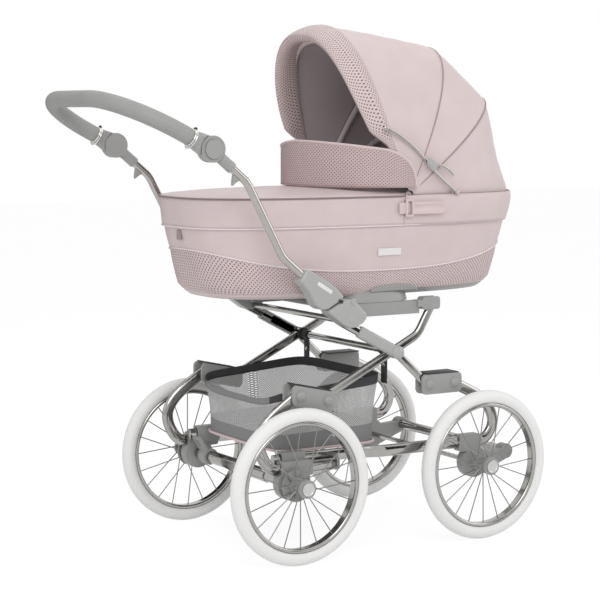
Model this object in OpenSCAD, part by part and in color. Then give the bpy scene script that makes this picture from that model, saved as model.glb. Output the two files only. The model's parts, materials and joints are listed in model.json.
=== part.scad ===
// Bassinet pram with wire wheels, a folding scissor chassis, a tilting handle and a folding hood.
// X runs forward to the hood end, Y to the left side and Z up. The origin lies on the floor
// under the middle of the whole pram. Every length is in millimetres and every angle in degrees.

/* [Wheels] */
// Outside diameter of each tyre
wheel_d = 356; // [330:2:380]
// Thickness of the tyre's round section
tyre_t = 33; // [29:1:36]
// Distance between the front and the rear axle
wheelbase = 511; // [490:1:540]
// Width of the rim
rim_w = 25; // [20:1:28]
// Depth of the rim section
rim_depth = 10; // [8:0.5:13]
// Spokes in each wheel
spoke_count = 20; // [12:2:28]
// Diameter of a spoke
spoke_d = 2.6; // [2:0.1:3.6]
// Diameter of the hub cap
hub_cap_d = 42; // [38:1:48]
// Distance that the hub cap stands out from the middle plane of its tyre
hub_out = 33; // [30:1:38]
// Diameter of the axles
axle_d = 12; // [9:0.5:15]

/* [Chassis] */
// Height of the oval section of the spring tubes
spring_h = 28; // [24:1:30]
// Thickness of the spring tubes
spring_t = 16; // [13:0.5:17]
// Height of the oval section of the scissor legs
leg_h = 21; // [18:1:24]
// Thickness of the scissor legs
leg_t = 14; // [11:0.5:16]
// Height of the spring pivots above the axles
pivot_rise = 198; // [185:1:210]
// Distance of the rear spring pivot ahead of the rear axle
rear_pivot_ahead = 20; // [10:1:30]
// Distance of the front spring pivot behind the front axle
front_pivot_behind = 65; // [55:1:75]
// Distance of the scissor pivot ahead of the middle of the wheelbase
scissor_ahead = 32; // [24:1:40]
// Height of the scissor pivot above the spring pivots
scissor_rise = 80; // [74:1:86]
// Distance between the two bolts of a knuckle
knuckle_span = 72; // [64:1:80]
// Reach of the spring tubes beyond their pivots
spring_reach = 130; // [115:1:140]
// Diameter of the front cross tube
cross_d = 24; // [18:1:28]
// Height of the box section of the carrier rails
rail_h = 30; // [26:1:36]
// Width of the carrier rails
rail_w = 18; // [15:1:20]

/* [Handle] */
// Diameter of the handle tubes
handle_d = 18; // [15:0.5:20]
// Distance from the handle's fold pivot back to the tilt joint
handle_back = 359; // [340:1:380]
// Height of the tilt joint above the fold pivot
handle_up = 347; // [330:1:370]
// Length of the grip bow behind the tilt joint
grip_len = 235; // [215:1:250]
// Diameter of the padded grip
grip_d = 38; // [32:1:42]
// Angle at which the grip bow rises to the rear
grip_rise = 27; // [20:1:35]
// Diameter of the tilt knuckles
tilt_d = 58; // [52:1:62]

/* [Bassinet] */
// Length of the bassinet at its rim
bassinet_l = 890; // [840:5:940]
// Width of the bassinet at its rim
bassinet_w = 410; // [380:2:440]
// Height of the bassinet from its bottom to its rim
bassinet_h = 212; // [190:2:230]
// Distance of the middle of the bassinet ahead of the middle of the wheelbase
bassinet_ahead = 15; // [5:1:25]
// Thickness of the padded wall
wall_t = 14; // [8:1:18]
// Height of the hem band below the rim
band_h = 62; // [50:1:75]
// Gap between the bassinet and the handle tubes
handle_gap = 22; // [16:1:30]

/* [Hood] */
// Distance of the hood pivots ahead of the middle of the wheelbase
hood_ahead = 78; // [68:1:88]
// Radius of the front bow
front_bow_r = 415; // [404:1:425]
// Radius of the middle bow
mid_bow_r = 388; // [378:1:396]
// Radius of the rear bow
rear_bow_r = 395; // [385:1:405]
// Angle of the front edge from upright, backwards
front_angle = 26; // [22:1:29]
// Thickness of the hood's padded fabric
hood_t = 4; // [3:0.5:6]

/* [Basket] */
// Length of the shopping basket
basket_l = 303; // [280:1:320]
// Height of the basket
basket_h = 150; // [130:1:165]

/* [Hidden] */
$fn = 64;
// Running clearance between a pin or shaft and its bore, on the radius
run_gap = 0.06;
// Clearance between pieces that slip past or sit beside each other
slip_gap = 0.4;
seat_gap = slip_gap / 8;
// Wider clearance beside pieces that swing
swing_gap = 1.5;
// Depth that a cut runs past the face it opens
over = 1;

// Heights and places of the running gear
axle_z = wheel_d / 2;
pivot_z = axle_z + pivot_rise;
rear_axle_x = -wheelbase / 2;
front_axle_x = wheelbase / 2;
rear_pivot = [rear_axle_x + rear_pivot_ahead, pivot_z];
front_pivot = [front_axle_x - front_pivot_behind, pivot_z];
scissor = [scissor_ahead, pivot_z + scissor_rise];

// Planes across the pram, from the bassinet outwards
handle_y = bassinet_w / 2 + handle_gap + handle_d / 2;
frame_y = handle_y - leg_t - swing_gap;
inner_y = frame_y - leg_t - 2 * swing_gap;
tyre_y = handle_y + handle_d / 2 + tyre_t / 2 + 4 * swing_gap;
guide_y = frame_y - spring_t - 4 * swing_gap;

// Height of the carrier's rails above the scissor pivots
carrier_rise = 86;
carrier_z = scissor[1] + carrier_rise;
rail_top_z = carrier_z + rail_h;
// The bassinet stands on its saddle above the rails
saddle_h = 27;
saddle_z = rail_top_z + slip_gap;
shell_z = saddle_z + saddle_h;
rim_z = shell_z + bassinet_h;
// Hood pivots stand a little above the rim
hood_pivot_rise = 8;
hood_pivot = [hood_ahead, rim_z + hood_pivot_rise];

// The handle's fold pivot beside the front of its hinge housing
handle_pivot_back = 137;
handle_pivot_rise = 127;
handle_pivot = [scissor[0] - handle_pivot_back, scissor[1] + handle_pivot_rise];
tilt_joint = [handle_pivot[0] - handle_back, handle_pivot[1] + handle_up];

// Reach of the whole pram, which puts its middle over the origin
reach_back = tilt_joint[0] - grip_len * cos(grip_rise) - grip_d / 2;
reach_front = bassinet_ahead + bassinet_l / 2;
mid_x = -(reach_back + reach_front) / 2;

// Colours
pink = "#d8bfc0";
pink_mesh = "#cda9ad";
grey = "#9a9a98";
dark = "#4a4a4a";
chrome = "#8c8a86";
white = "#f2f1ee";
mesh_grey = "#b9b9b8";

// Placing

// Carries a drawing made about the middle of the wheelbase to the pram's own frame
module placed() {
    translate([mid_x, 0, 0]) children();
}

// Draws a left-hand piece on the side asked for
module on_side(side) {
    if (side < 0) mirror([0, 1, 0]) children();
    else children();
}

// Draws a left-hand piece on both sides
module both_sides() {
    for (side = [-1, 1]) on_side(side) children();
}

// Stands a flat drawing upright in the side plane, with its thickness about the plane at y
module in_plane(y) {
    translate([0, y, 0]) rotate([90, 0, 0]) children();
}

// Draws along the Y axis through a place in the side plane, starting at the plane y
module across(place, y) {
    translate([place[0], y, place[1]]) rotate([-90, 0, 0]) children();
}

// Tubes

function heading(a, b) = atan2(b[1] - a[1], b[0] - a[0]);
function wrapped(t) = t > 180 ? t - 360 : t < -180 ? t + 360 : t;
function turn(path, i) = wrapped(heading(path[i], path[i + 1]) - heading(path[i - 1], path[i]));
// Length that the bend at a corner takes from each run beside it
function trim(path, i, r) =
    i == 0 || i == len(path) - 1 ? 0 : r * tan(abs(turn(path, i)) / 2);
// Points between two corners of a box, as shares of its sides
function along(a, b, shares) =
    [for (s = shares) [a[0] + s[0] * (b[0] - a[0]), a[1] + s[1] * (b[1] - a[1])]];

// A flat-oval section, h wide and t thick
module oval(h, t) {
    if (h == t) circle(d = t);
    else if (h < t) rotate(90) oval(t, h);
    else {
        square([h - t, t], center = true);
        for (s = [-1, 1]) translate([s * (h - t) / 2, 0]) circle(d = t);
    }
}

// A straight oval bar along X from the origin
module oval_bar(run, h, t) {
    rotate([90, 0, 90]) linear_extrude(run) oval(h, t);
}

// A bend swells a little against the straight runs beside it
bend_swell = 0.1;
bend_lap = 0.4;

// An oval tube bent in the XY plane through the corners of a path
module bent_tube(path, r, h, t) {
    for (i = [0 : len(path) - 2]) {
        start = trim(path, i, r) - (i > 0 ? bend_lap : 0);
        run = norm(path[i + 1] - path[i]) - start - trim(path, i + 1,
            r) + (i < len(path) - 2 ? bend_lap : 0);
        translate(path[i]) rotate(heading(path[i], path[i + 1])) translate([start, 0, 0])
            oval_bar(run, h, t);
    }
    for (i = [1 : len(path) - 2]) {
        w = turn(path, i);
        from = w > 0 ? -90 : 90 + w;
        translate(path[i]) rotate(heading(path[i - 1], path[i]))
            translate([-trim(path, i, r), sign(w) * r, 0])
            rotate(from) rotate_extrude(angle = abs(w)) translate([r, 0])
                oval(h + 2 * bend_swell, t + 2 * bend_swell);
    }
}

// Plates

corner_steps = 5;
// The corner of an outline rounded to a radius
function rounded_corner(p, i, r) = let (
    n = len(p),
    a = p[(i + n - 1) % n],
    b = p[i],
    c = p[(i + 1) % n],
    into = heading(a, b),
    w = wrapped(heading(b, c) - into),
    t = r * tan(abs(w) / 2),
    centre = b - t * [cos(into), sin(into)] + sign(w) * r * [-sin(into), cos(into)]
) [for (k = [0 : corner_steps])
    let (g = into - sign(w) * 90 + w * k / corner_steps)
    centre + r * [cos(g), sin(g)]];
function rounded(p, r) = [for (i = [0 : len(p) - 1]) each rounded_corner(p, i, r)];
// The corners of a rectangle
function box_of(x0, z0, x1, z1) = [[x0, z0], [x1, z0], [x1, z1], [x0, z1]];

// A rounded plate standing in the side plane, t thick about the plane at y
module plate(outline, r, y, t) {
    in_plane(y) linear_extrude(t, center = true) polygon(rounded(outline, r));
}

// Soft shells

function flat(list) = [for (row = list) each row];
function grid_faces(rows, cols, base, flip) = [
    for (i = [0 : rows - 2], j = [0 : cols - 2])
        let (a = base + i * cols + j, b = a + 1, c = a + cols, d = c + 1)
        each flip ? [[a, d, b], [a, c, d]] : [[a, b, d], [a, d, c]]
];
// Indices round the edge of a grid
function edge_loop(rows, cols) = concat(
    [for (j = [0 : cols - 2]) j],
    [for (i = [0 : rows - 2]) i * cols + cols - 1],
    [for (j = [cols - 1 : -1 : 1]) (rows - 1) * cols + j],
    [for (i = [rows - 1 : -1 : 1]) i * cols]
);
// A closed sheet between an outer and an inner grid of points
module sheet(outer, inner) {
    rows = len(outer);
    cols = len(outer[0]);
    n = rows * cols;
    loop = edge_loop(rows, cols);
    rim_faces = [
        for (k = [0 : len(loop) - 1])
            let (a = loop[k], b = loop[(k + 1) % len(loop)])
            each [[a, b + n, b], [a, a + n, b + n]]
    ];
    polyhedron(
        points = concat(flat(outer), flat(inner)),
        faces = concat(grid_faces(rows, cols, 0, false), grid_faces(rows, cols, n, true), rim_faces)
    );
}

// A closed body through a stack of rings of equal count
module loft(rings) {
    n = len(rings[0]);
    last = (len(rings) - 1) * n;
    walls = [
        for (i = [0 : len(rings) - 2], j = [0 : n - 1])
            let (a = i * n + j, b = i * n + (j + 1) % n, c = a + n, d = b + n)
            each [[a, d, b], [a, c, d]]
    ];
    ends = [[for (j = [0 : n - 1]) j], [for (j = [n - 1 : -1 : 0]) last + j]];
    polyhedron(points = flat(rings), faces = concat(walls, ends));
}

// Superellipse in plan, used by the bassinet and all that lies on it
plan_power = 3;
plan_steps = 44;
function power_of(v, p) = sign(v) * pow(abs(v), p);
function plan_point(a, b, t) = [a * power_of(cos(t), 2 / plan_power),
    b * power_of(sin(t), 2 / plan_power)];
function plan_ring(cx, a, b, z) = [
    for (k = [0 : plan_steps - 1])
        let (p = plan_point(a, b, k * 360 / plan_steps))
        [cx + p[0], p[1], z]
];

// Wheels, drawn about their own centres with the axis along Z and the outer face up

tyre_mid_r = wheel_d / 2 - tyre_t / 2;
tyre_seat = 4;
rim_r = wheel_d / 2 - tyre_t + tyre_seat;
flange_d = 40;
flange_t = 3.5;
flange_out = 13;
hub_d = 30;
hub_in = 20;
cap_t = 10;
cap_disc_d = 28;
cap_disc_t = 1.2;
spoke_lean = 22;
spoke_grip = 3;
brake_ring_d = 74;
brake_ring_t = 4.5;
brake_slots = 18;
brake_slot = 5;
brake_slot_r = 31;

module tyre() {
    rotate_extrude($fn = 96) intersection() {
        translate([tyre_mid_r, 0]) circle(d = tyre_t);
        translate([rim_r + seat_gap, -tyre_t / 2])
            square([wheel_d / 2 - rim_r - seat_gap, tyre_t]);
    }
}

// A bar between two points in space
module bar(a, b, d) {
    v = b - a;
    translate(a) rotate([0, acos(v[2] / norm(v)), atan2(v[1], v[0])])
        cylinder(d = d, h = norm(v), $fn = 16);
}

// Hub end and rim end of one spoke, whose neighbours lean the other way from the other flange
function spoke_end(i, r, lean, out) = let (
    side = i % 2 == 0 ? 1 : -1,
    g = i * 360 / spoke_count + side * lean
) [r * cos(g), r * sin(g), side * out];

module spoked_rim() {
    rotate_extrude($fn = 96) translate([rim_r - rim_depth / 2, 0]) rotate(90) oval(rim_w, rim_depth);
    for (i = [0 : spoke_count - 1])
        bar(spoke_end(i, flange_d / 2 + slip_gap, spoke_lean, flange_out),
            spoke_end(i, rim_r - rim_depth + spoke_grip, 0, 0), spoke_d);
}

module hub(braked) {
    difference() {
        union() {
            translate([0, 0, -hub_in]) cylinder(d = hub_d, h = hub_in + hub_out - cap_t);
            for (s = [-1, 1]) translate([0, 0, s * flange_out - flange_t / 2])
                cylinder(d = flange_d, h = flange_t);
            translate([0, 0, hub_out - cap_t]) cylinder(d = hub_cap_d, h = cap_t - cap_disc_t);
            translate([0, 0, hub_out - cap_disc_t]) cylinder(d = cap_disc_d, h = cap_disc_t);
            if (braked) translate([0, 0, -hub_in]) cylinder(d = brake_ring_d, h = brake_ring_t);
        }
        translate([0, 0, -hub_in - over])
            cylinder(r = axle_d / 2 + run_gap, h = hub_in + hub_out - cap_t + over);
        if (braked) for (i = [0 : brake_slots - 1])
            rotate(i * 360 / brake_slots) translate([brake_slot_r, 0, -hub_in])
                cube([brake_slot, brake_slot, brake_slot], center = true);
    }
}

// Puts a wheel's drawing on its axle
module on_axle(x, side) {
    placed() on_side(side) translate([x, tyre_y, axle_z]) rotate([-90, 0, 0]) children();
}

module tyre_rear_left() color(white) on_axle(rear_axle_x, 1) tyre();
module tyre_rear_right() color(white) on_axle(rear_axle_x, -1) tyre();
module tyre_front_left() color(white) on_axle(front_axle_x, 1) tyre();
module tyre_front_right() color(white) on_axle(front_axle_x, -1) tyre();
module spoked_rim_rear_left() color(chrome) on_axle(rear_axle_x, 1) spoked_rim();
module spoked_rim_rear_right() color(chrome) on_axle(rear_axle_x, -1) spoked_rim();
module spoked_rim_front_left() color(chrome) on_axle(front_axle_x, 1) spoked_rim();
module spoked_rim_front_right() color(chrome) on_axle(front_axle_x, -1) spoked_rim();
module hub_rear_left() color(grey) on_axle(rear_axle_x, 1) hub(true);
module hub_rear_right() color(grey) on_axle(rear_axle_x, -1) hub(true);
module hub_front_left() color(grey) on_axle(front_axle_x, 1) hub(false);
module hub_front_right() color(grey) on_axle(front_axle_x, -1) hub(false);

// Axles run from one hub cap to the other

axle_half = tyre_y + hub_out - cap_t - slip_gap;

module axle(x) {
    across([x, axle_z], -axle_half) cylinder(d = axle_d, h = 2 * axle_half);
}

module rear_axle() color(chrome) placed() axle(rear_axle_x);
module front_axle() color(chrome) placed() axle(front_axle_x);

// Spring tubes, the C-shaped tubes that carry the frame on the axle blocks

spring_bend = 36;
rear_tail_rise = 34;
front_rail_rise = 50;
rear_tail_z = axle_z + rear_tail_rise;
front_rail_z = axle_z + front_rail_rise;
rear_tail_ahead = 121;
rear_tail_end = rear_axle_x + rear_tail_ahead;
// Corners of a spring tube from its pivot to the end of its bend, as shares of its reach and drop
rear_spring_shares = [[0, 0], [0.64, 0.34], [0.82, 0.64], [0.58, 1]];
front_spring_shares = [[0, 0], [0.8, 0.34], [1.01, 0.73], [0.8, 1]];
rear_spring_corner = [rear_pivot[0] - spring_reach, rear_tail_z];
front_spring_corner = [front_pivot[0] + spring_reach, front_rail_z];
jog_front = 12;
jog_back = -46;
jog_bend = 40;
jog_lap = 3;
jog_less = 0.4;
rail_back = 38;
front_rail_end = rear_axle_x - rail_back;
eye_d = 32;
eye_proud = 0.15;
pivot_bolt_d = 10;

// The eye that a spring tube turns in at its pivot
module pivot_eye(place, y, t, d) {
    across(place, y - t / 2 - eye_proud) cylinder(d = d, h = t + 2 * eye_proud);
}

module pivot_bore(place, y, t) {
    across(place, y - t) cylinder(r = pivot_bolt_d / 2 + run_gap, h = 2 * t);
}

module rear_spring_tube() {
    path = concat(along(rear_pivot, rear_spring_corner, rear_spring_shares),
        [[rear_tail_end, rear_tail_z]]);
    difference() {
        union() {
            in_plane(frame_y) bent_tube(path, spring_bend, spring_h, spring_t);
            pivot_eye(rear_pivot, frame_y, spring_t, eye_d);
        }
        pivot_bore(rear_pivot, frame_y, spring_t);
    }
}

module front_spring_tube() {
    path = concat(along(front_pivot, front_spring_corner, front_spring_shares),
        [[jog_front, front_rail_z]]);
    jog = [[jog_front + jog_lap, frame_y], [jog_front + jog_back / 2, frame_y],
        [jog_back + jog_back / 2, guide_y],
        [front_rail_end, guide_y]];
    difference() {
        union() {
            in_plane(frame_y) bent_tube(path, spring_bend, spring_h, spring_t);
            translate([0, 0, front_rail_z])
                bent_tube(jog, jog_bend, spring_t - jog_less, spring_h - jog_less);
            pivot_eye(front_pivot, frame_y, spring_t, eye_d);
        }
        pivot_bore(front_pivot, frame_y, spring_t);
    }
}

module rear_spring_tube_left() color(chrome) placed() on_side(1) rear_spring_tube();
module rear_spring_tube_right() color(chrome) placed() on_side(-1) rear_spring_tube();
module front_spring_tube_left() color(chrome) placed() on_side(1) front_spring_tube();
module front_spring_tube_right() color(chrome) placed() on_side(-1) front_spring_tube();

// Axle blocks, the plastic castings that join the spring tubes to the axles

block_wall = 4;
block_r = 6;
block_disc_d = 74;
block_back = 28;
block_front = 54;
block_y = frame_y;
block_t = spring_t + 2 * block_wall;
block_out_y = block_y + block_t / 2;
block_in_y = block_y - block_t / 2;
hub_face_y = tyre_y - hub_in;
guide_len = 60;
guide_wall = 3;
guide_gap = swing_gap;
guide_h = spring_h + 2 * (guide_gap + guide_wall);
guide_w = spring_t + 2 * (guide_gap + guide_wall);
spacer_d = 26;
front_block_back = 46;
front_block_front = 16;
bumper_ahead = 95;
bumper_rise = 17;
bumper_boss_d = 36;
bumper = [front_axle_x + bumper_ahead, axle_z + bumper_rise];
bumper_socket = 8;

// The disc round an axle, its spacer to the hub and the bore between them
module axle_disc(x) {
    across([x, axle_z], block_in_y) cylinder(d = block_disc_d, h = block_t);
    across([x, axle_z], block_out_y) cylinder(d = spacer_d, h = hub_face_y - slip_gap - block_out_y);
}

module axle_bore(x) {
    across([x, axle_z], block_in_y - over)
        cylinder(r = axle_d / 2 + run_gap, h = hub_face_y - block_in_y + 2 * over);
}

// The way of an oval tube through a block
module tube_way(x0, x1, y, z, gap) {
    translate([x0, y, z]) rotate([90, 0, 0]) oval_bar(x1 - x0, spring_h + 2 * gap, spring_t + 2 * gap);
}

module rear_axle_block() {
    x0 = rear_axle_x - block_back;
    x1 = rear_axle_x + block_front;
    half = spring_h / 2 + block_wall;
    difference() {
        union() {
            axle_disc(rear_axle_x);
            plate(box_of(x0, rear_tail_z - half, x1, rear_tail_z + half), block_r, block_y, block_t);
            translate([rear_axle_x - block_back / 2, guide_y - guide_w / 2, front_rail_z - guide_h / 2])
                cube([guide_len, guide_w, guide_h]);
        }
        axle_bore(rear_axle_x);
        tube_way(rear_axle_x - block_disc_d / 2 - over, x1 + over, frame_y, rear_tail_z, slip_gap / 4);
        tube_way(x0 - over, x1 + over, guide_y, front_rail_z, guide_gap);
    }
}

module rear_axle_blocks() color(grey) placed() both_sides() rear_axle_block();

module front_axle_block() {
    x0 = front_axle_x - front_block_back;
    x1 = front_axle_x + front_block_front;
    half = spring_h / 2 + block_wall;
    arm = bumper_boss_d / 2;
    disc_r = block_disc_d / 2;
    difference() {
        union() {
            axle_disc(front_axle_x);
            plate(box_of(x0, front_rail_z - half - block_wall, x1, front_rail_z + half), block_r,
                block_y, block_t);
            plate([[front_axle_x, axle_z - disc_r], [bumper[0], bumper[1] - arm],
                [bumper[0], bumper[1] + arm / 2],
                [front_axle_x, axle_z + disc_r / 2]], block_r, block_y, block_t);
            across(bumper, block_in_y) cylinder(d = bumper_boss_d, h = block_t);
        }
        axle_bore(front_axle_x);
        tube_way(x0 - over, bumper[0] + over, frame_y, front_rail_z, slip_gap / 4);
        across(bumper, block_in_y - over) cylinder(r = cross_d / 2 + run_gap, h = bumper_socket + over);
    }
}

module front_axle_blocks() color(grey) placed() both_sides() front_axle_block();

// Cross tubes between the blocks

rear_cross_d = 26;
knurl_d = 31;
knurl_half = 125;
rear_cross_half = block_in_y - slip_gap / 4;
bumper_half = block_in_y + bumper_socket - slip_gap;

module rear_cross_tube() color(chrome) placed() {
    difference() {
        union() {
            across([rear_axle_x, axle_z], -rear_cross_half)
                cylinder(d = rear_cross_d, h = 2 * rear_cross_half);
            across([rear_axle_x, axle_z], -knurl_half) cylinder(d = knurl_d, h = 2 * knurl_half);
        }
        across([rear_axle_x, axle_z], -rear_cross_half - over)
            cylinder(r = axle_d / 2 + run_gap, h = 2 * (rear_cross_half + over));
    }
}

module front_cross_tube() color(chrome) placed()
    across(bumper, -bumper_half) cylinder(d = cross_d, h = 2 * bumper_half);

// Caps on the open front ends of the rear tails
tail_cap_t = 7;
tail_cap_wall = 1;

module tail_end_caps() color(grey) placed() both_sides()
    translate([rear_tail_end + seat_gap, frame_y, rear_tail_z]) rotate([90, 0, 0])
        oval_bar(tail_cap_t, spring_h + 2 * tail_cap_wall, spring_t + 2 * tail_cap_wall);

// Brake pedal, a slotted foot plate on a collar that turns on the rear cross tube

collar_d = 40;
collar_w = 30;
collar_in = 60.5;
collar_y = block_in_y - collar_in;
pedal_l = 56;
pedal_w = 34;
pedal_t = 9;
pedal_lean = 32;
pedal_slot_w = 4;
pedal_slot_l = 20;
pedal_slot_pitch = 8;
pedal_neck = 8;

module brake_pedal() color(grey) placed() translate([rear_axle_x, collar_y, axle_z]) difference() {
    union() {
        rotate([-90, 0, 0]) cylinder(d = collar_d, h = collar_w);
        rotate([0, -pedal_lean, 0]) translate([-pedal_t / 2, 0, pedal_neck])
            cube([pedal_t, pedal_w, pedal_l - pedal_neck]);
    }
    translate([0, -over, 0]) rotate([-90, 0, 0])
        cylinder(r = rear_cross_d / 2 + run_gap, h = pedal_w + 2 * over);
    rotate([0, -pedal_lean, 0]) for (i = [-1 : 1])
        translate([-pedal_t, pedal_w / 2 + i * pedal_slot_pitch - pedal_slot_w / 2,
            pedal_l - pedal_slot_l - pedal_slot_w])
            cube([2 * pedal_t, pedal_slot_w, pedal_slot_l]);
}

// Shopping basket, a soft tapered tray between the rails

basket_in = 13.8;
basket_half_w = inner_y - basket_in;
basket_wall = 3;
basket_front_gap = 1.5;
basket_ahead = scissor[0] - basket_front_gap - basket_l / 2;
basket_z = axle_z + block_disc_d / 2 + front_rail_rise / 2;
basket_rim_fall = 26;
basket_bottom_share = 0.94;
basket_power = 7;
// Ring round the basket, squarer than the bassinet; its rim is lower at the rear than at the front
function basket_ring(share, inset, z, fall) = [
    for (k = [0 : plan_steps - 1]) let (
        t = k * 360 / plan_steps,
        x = (share * basket_l / 2 - inset) * power_of(cos(t), 2 / basket_power),
        y = (share * basket_half_w - inset) * power_of(sin(t), 2 / basket_power)
    ) [basket_ahead + x, y, z + fall * x / basket_l]
];

module basket() color(mesh_grey) placed() loft([
    basket_ring(basket_bottom_share, 0, basket_z, 0),
    basket_ring(1, 0, basket_z + basket_h, basket_rim_fall),
    basket_ring(1, basket_wall, basket_z + basket_h, basket_rim_fall),
    basket_ring(basket_bottom_share, basket_wall, basket_z + basket_wall, 0)
]);

// Scissor legs

knuckle_drop = 16;
rear_bolt = [rear_pivot[0] + knuckle_span, rear_pivot[1] - knuckle_drop];
front_bolt = [front_pivot[0] - knuckle_span, front_pivot[1]];
leg_bend = 55;
leg_eye_wall = 3;
lower_leg_less = 0.5;
// Share of the rear leg's lower run that it keeps on past the scissor pivot
rear_leg_past_share = 0.37;
carrier_pin_ahead = 115;
carrier_pin_drop = 6;
carrier_pin = [scissor[0] + carrier_pin_ahead, rail_top_z - carrier_pin_drop];
scissor_bolt_d = 10;
scissor_washer_d = 30;
scissor_head_d = 26;
scissor_head_t = 6;
scissor_tube_d = 16;
bolt_head_d = 26;
socket_back = 148;
socket_rise = 78;
leg_top = [scissor[0] - socket_back, scissor[1] + socket_rise];

module scissor_bore(y) {
    across(scissor, y - leg_t) cylinder(r = scissor_bolt_d / 2 + run_gap, h = 2 * leg_t);
}

module rear_leg() {
    past = scissor + rear_leg_past_share * (scissor - rear_bolt);
    difference() {
        union() {
            in_plane(inner_y) bent_tube([rear_bolt, past, carrier_pin], leg_bend, leg_h, leg_t);
            pivot_eye(scissor, inner_y, leg_t, leg_h + 2 * leg_eye_wall);
            for (place = [rear_bolt, carrier_pin]) pivot_eye(place, inner_y, leg_t, leg_h + leg_eye_wall);
        }
        scissor_bore(inner_y);
        pivot_bore(rear_bolt, inner_y, leg_t);
        pivot_bore(carrier_pin, inner_y, leg_t);
    }
}

// A straight oval run of the front leg, grown by a gap for the socket that takes it
module leg_run(a, b, gap) {
    in_plane(frame_y) translate(a) rotate(heading(a, b))
        oval_bar(norm(b - a), leg_h + 2 * gap, leg_t + 2 * gap);
}

// A cover over the outer side of the upper run, from the hinge to beside the scissor bolt's head
leg_cover_grow = 2.5;
leg_cover_shares = [0.1, 0.52];
module leg_cover() intersection() {
    leg_run(scissor + leg_cover_shares[1] * (leg_top - scissor),
        scissor + leg_cover_shares[0] * (leg_top - scissor), leg_cover_grow);
    translate([leg_top[0], frame_y - leg_t / 2, scissor[1] - leg_h])
        cube([socket_back, leg_t + leg_cover_grow, socket_rise + 2 * leg_h]);
}

module front_leg() {
    difference() {
        union() {
            leg_run(leg_top, scissor, 0);
            leg_cover();
            leg_run(scissor, front_bolt, -lower_leg_less);
            pivot_eye(scissor, frame_y, leg_t, leg_h + 2 * leg_eye_wall);
            pivot_eye(front_bolt, frame_y, leg_t, leg_h + leg_eye_wall);
        }
        scissor_bore(frame_y);
        pivot_bore(front_bolt, frame_y, leg_t);
    }
}

module rear_legs() color(chrome) placed() both_sides() rear_leg();
module front_legs() color(chrome) placed() both_sides() front_leg();

// Scissor axle, a cross tube whose stepped ends are the scissor bolts

scissor_tube_half = inner_y - leg_t / 2 - scissor_head_t - slip_gap;
scissor_out_y = frame_y + leg_t / 2 + slip_gap;

module scissor_end() {
    across(scissor, scissor_tube_half) cylinder(d = scissor_head_d, h = scissor_head_t);
    across(scissor, scissor_tube_half)
        cylinder(d = scissor_bolt_d, h = scissor_out_y - scissor_tube_half + over);
    across(scissor, inner_y + leg_t / 2 + slip_gap)
        cylinder(d = scissor_washer_d, h = frame_y - inner_y - leg_t - 2 * slip_gap);
    across(scissor, scissor_out_y) cylinder(d = scissor_head_d, h = scissor_head_t);
}

module scissor_axle() color(chrome) placed() {
    across(scissor, -scissor_tube_half) cylinder(d = scissor_tube_d, h = 2 * scissor_tube_half);
    both_sides() scissor_end();
}

// Straps that hang from the scissor axle beside the basket

strap_w = 24;
strap_t = 2.5;
strap_in = 30.1;
strap_y = scissor_tube_half - strap_in;
strap_len = 78;
strap_loop_t = 3;

module basket_straps() color(dark) placed() both_sides() difference() {
    union() {
        across(scissor, strap_y) cylinder(d = scissor_tube_d + 2 * strap_loop_t, h = strap_w);
        translate([scissor[0] - strap_t / 2, strap_y, scissor[1] - strap_len])
            cube([strap_t, strap_w, strap_len]);
    }
    across(scissor, strap_y - over) cylinder(r = scissor_tube_d / 2 + run_gap, h = strap_w + 2 * over);
}

// Knuckles, each a pair of plates over the ends of a spring tube and a leg

plate_t = 6;
knuckle_r = 12;
knuckle_half_h = 24;
knuckle_end = 21;
bush_d = 24;
boss_t = 2.5;
knuckle_cap_t = 3;

// A bolt with a domed boss outside, a bush in the space beside its tube and the plates' holes filled
module knuckle_bolt(place, in_y, out_y, bush_y0, bush_y1) {
    across(place, in_y) cylinder(d = pivot_bolt_d, h = out_y - in_y);
    across(place, out_y) cylinder(d = bolt_head_d, h = boss_t);
    if (bush_y1 > bush_y0) across(place, bush_y0) cylinder(d = bush_d, h = bush_y1 - bush_y0);
}

// The two plates between a pivot and a bolt, with a cap over the top edge
module knuckle_plates(pivot, bolt, in_y, out_y) {
    x0 = min(pivot[0], bolt[0]) - knuckle_end;
    x1 = max(pivot[0], bolt[0]) + knuckle_end;
    slope = (bolt[1] - pivot[1]) / (bolt[0] - pivot[0]);
    z0 = pivot[1] + slope * (x0 - pivot[0]);
    z1 = pivot[1] + slope * (x1 - pivot[0]);
    outline = [[x0, z0 - knuckle_half_h], [x1, z1 - knuckle_half_h], [x1, z1 + knuckle_half_h],
        [x0, z0 + knuckle_half_h]];
    plate(outline, knuckle_r, in_y + plate_t / 2, plate_t);
    plate(outline, knuckle_r, out_y - plate_t / 2, plate_t);
    mid = (pivot + bolt) / 2;
    translate([mid[0], (in_y + out_y) / 2, mid[1] + knuckle_half_h - knuckle_cap_t / 2])
        rotate([0, -atan(slope), 0])
            cube([abs(bolt[0] - pivot[0]), out_y - in_y, knuckle_cap_t], center = true);
}

module rear_knuckle() {
    in_y = inner_y - leg_t / 2 - slip_gap - plate_t;
    out_y = frame_y + spring_t / 2 + slip_gap + plate_t;
    knuckle_plates(rear_pivot, rear_bolt, in_y, out_y);
    knuckle_bolt(rear_pivot, in_y, out_y, in_y, frame_y - spring_t / 2 - slip_gap);
    knuckle_bolt(rear_bolt, in_y, out_y, inner_y + leg_t / 2 + slip_gap, out_y);
}

module front_knuckle() {
    in_y = frame_y - spring_t / 2 - slip_gap - plate_t;
    out_y = frame_y + spring_t / 2 + slip_gap + plate_t;
    knuckle_plates(front_pivot, front_bolt, in_y, out_y);
    knuckle_bolt(front_pivot, in_y, out_y, 0, 0);
    knuckle_bolt(front_bolt, in_y, out_y, 0, 0);
}

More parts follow.
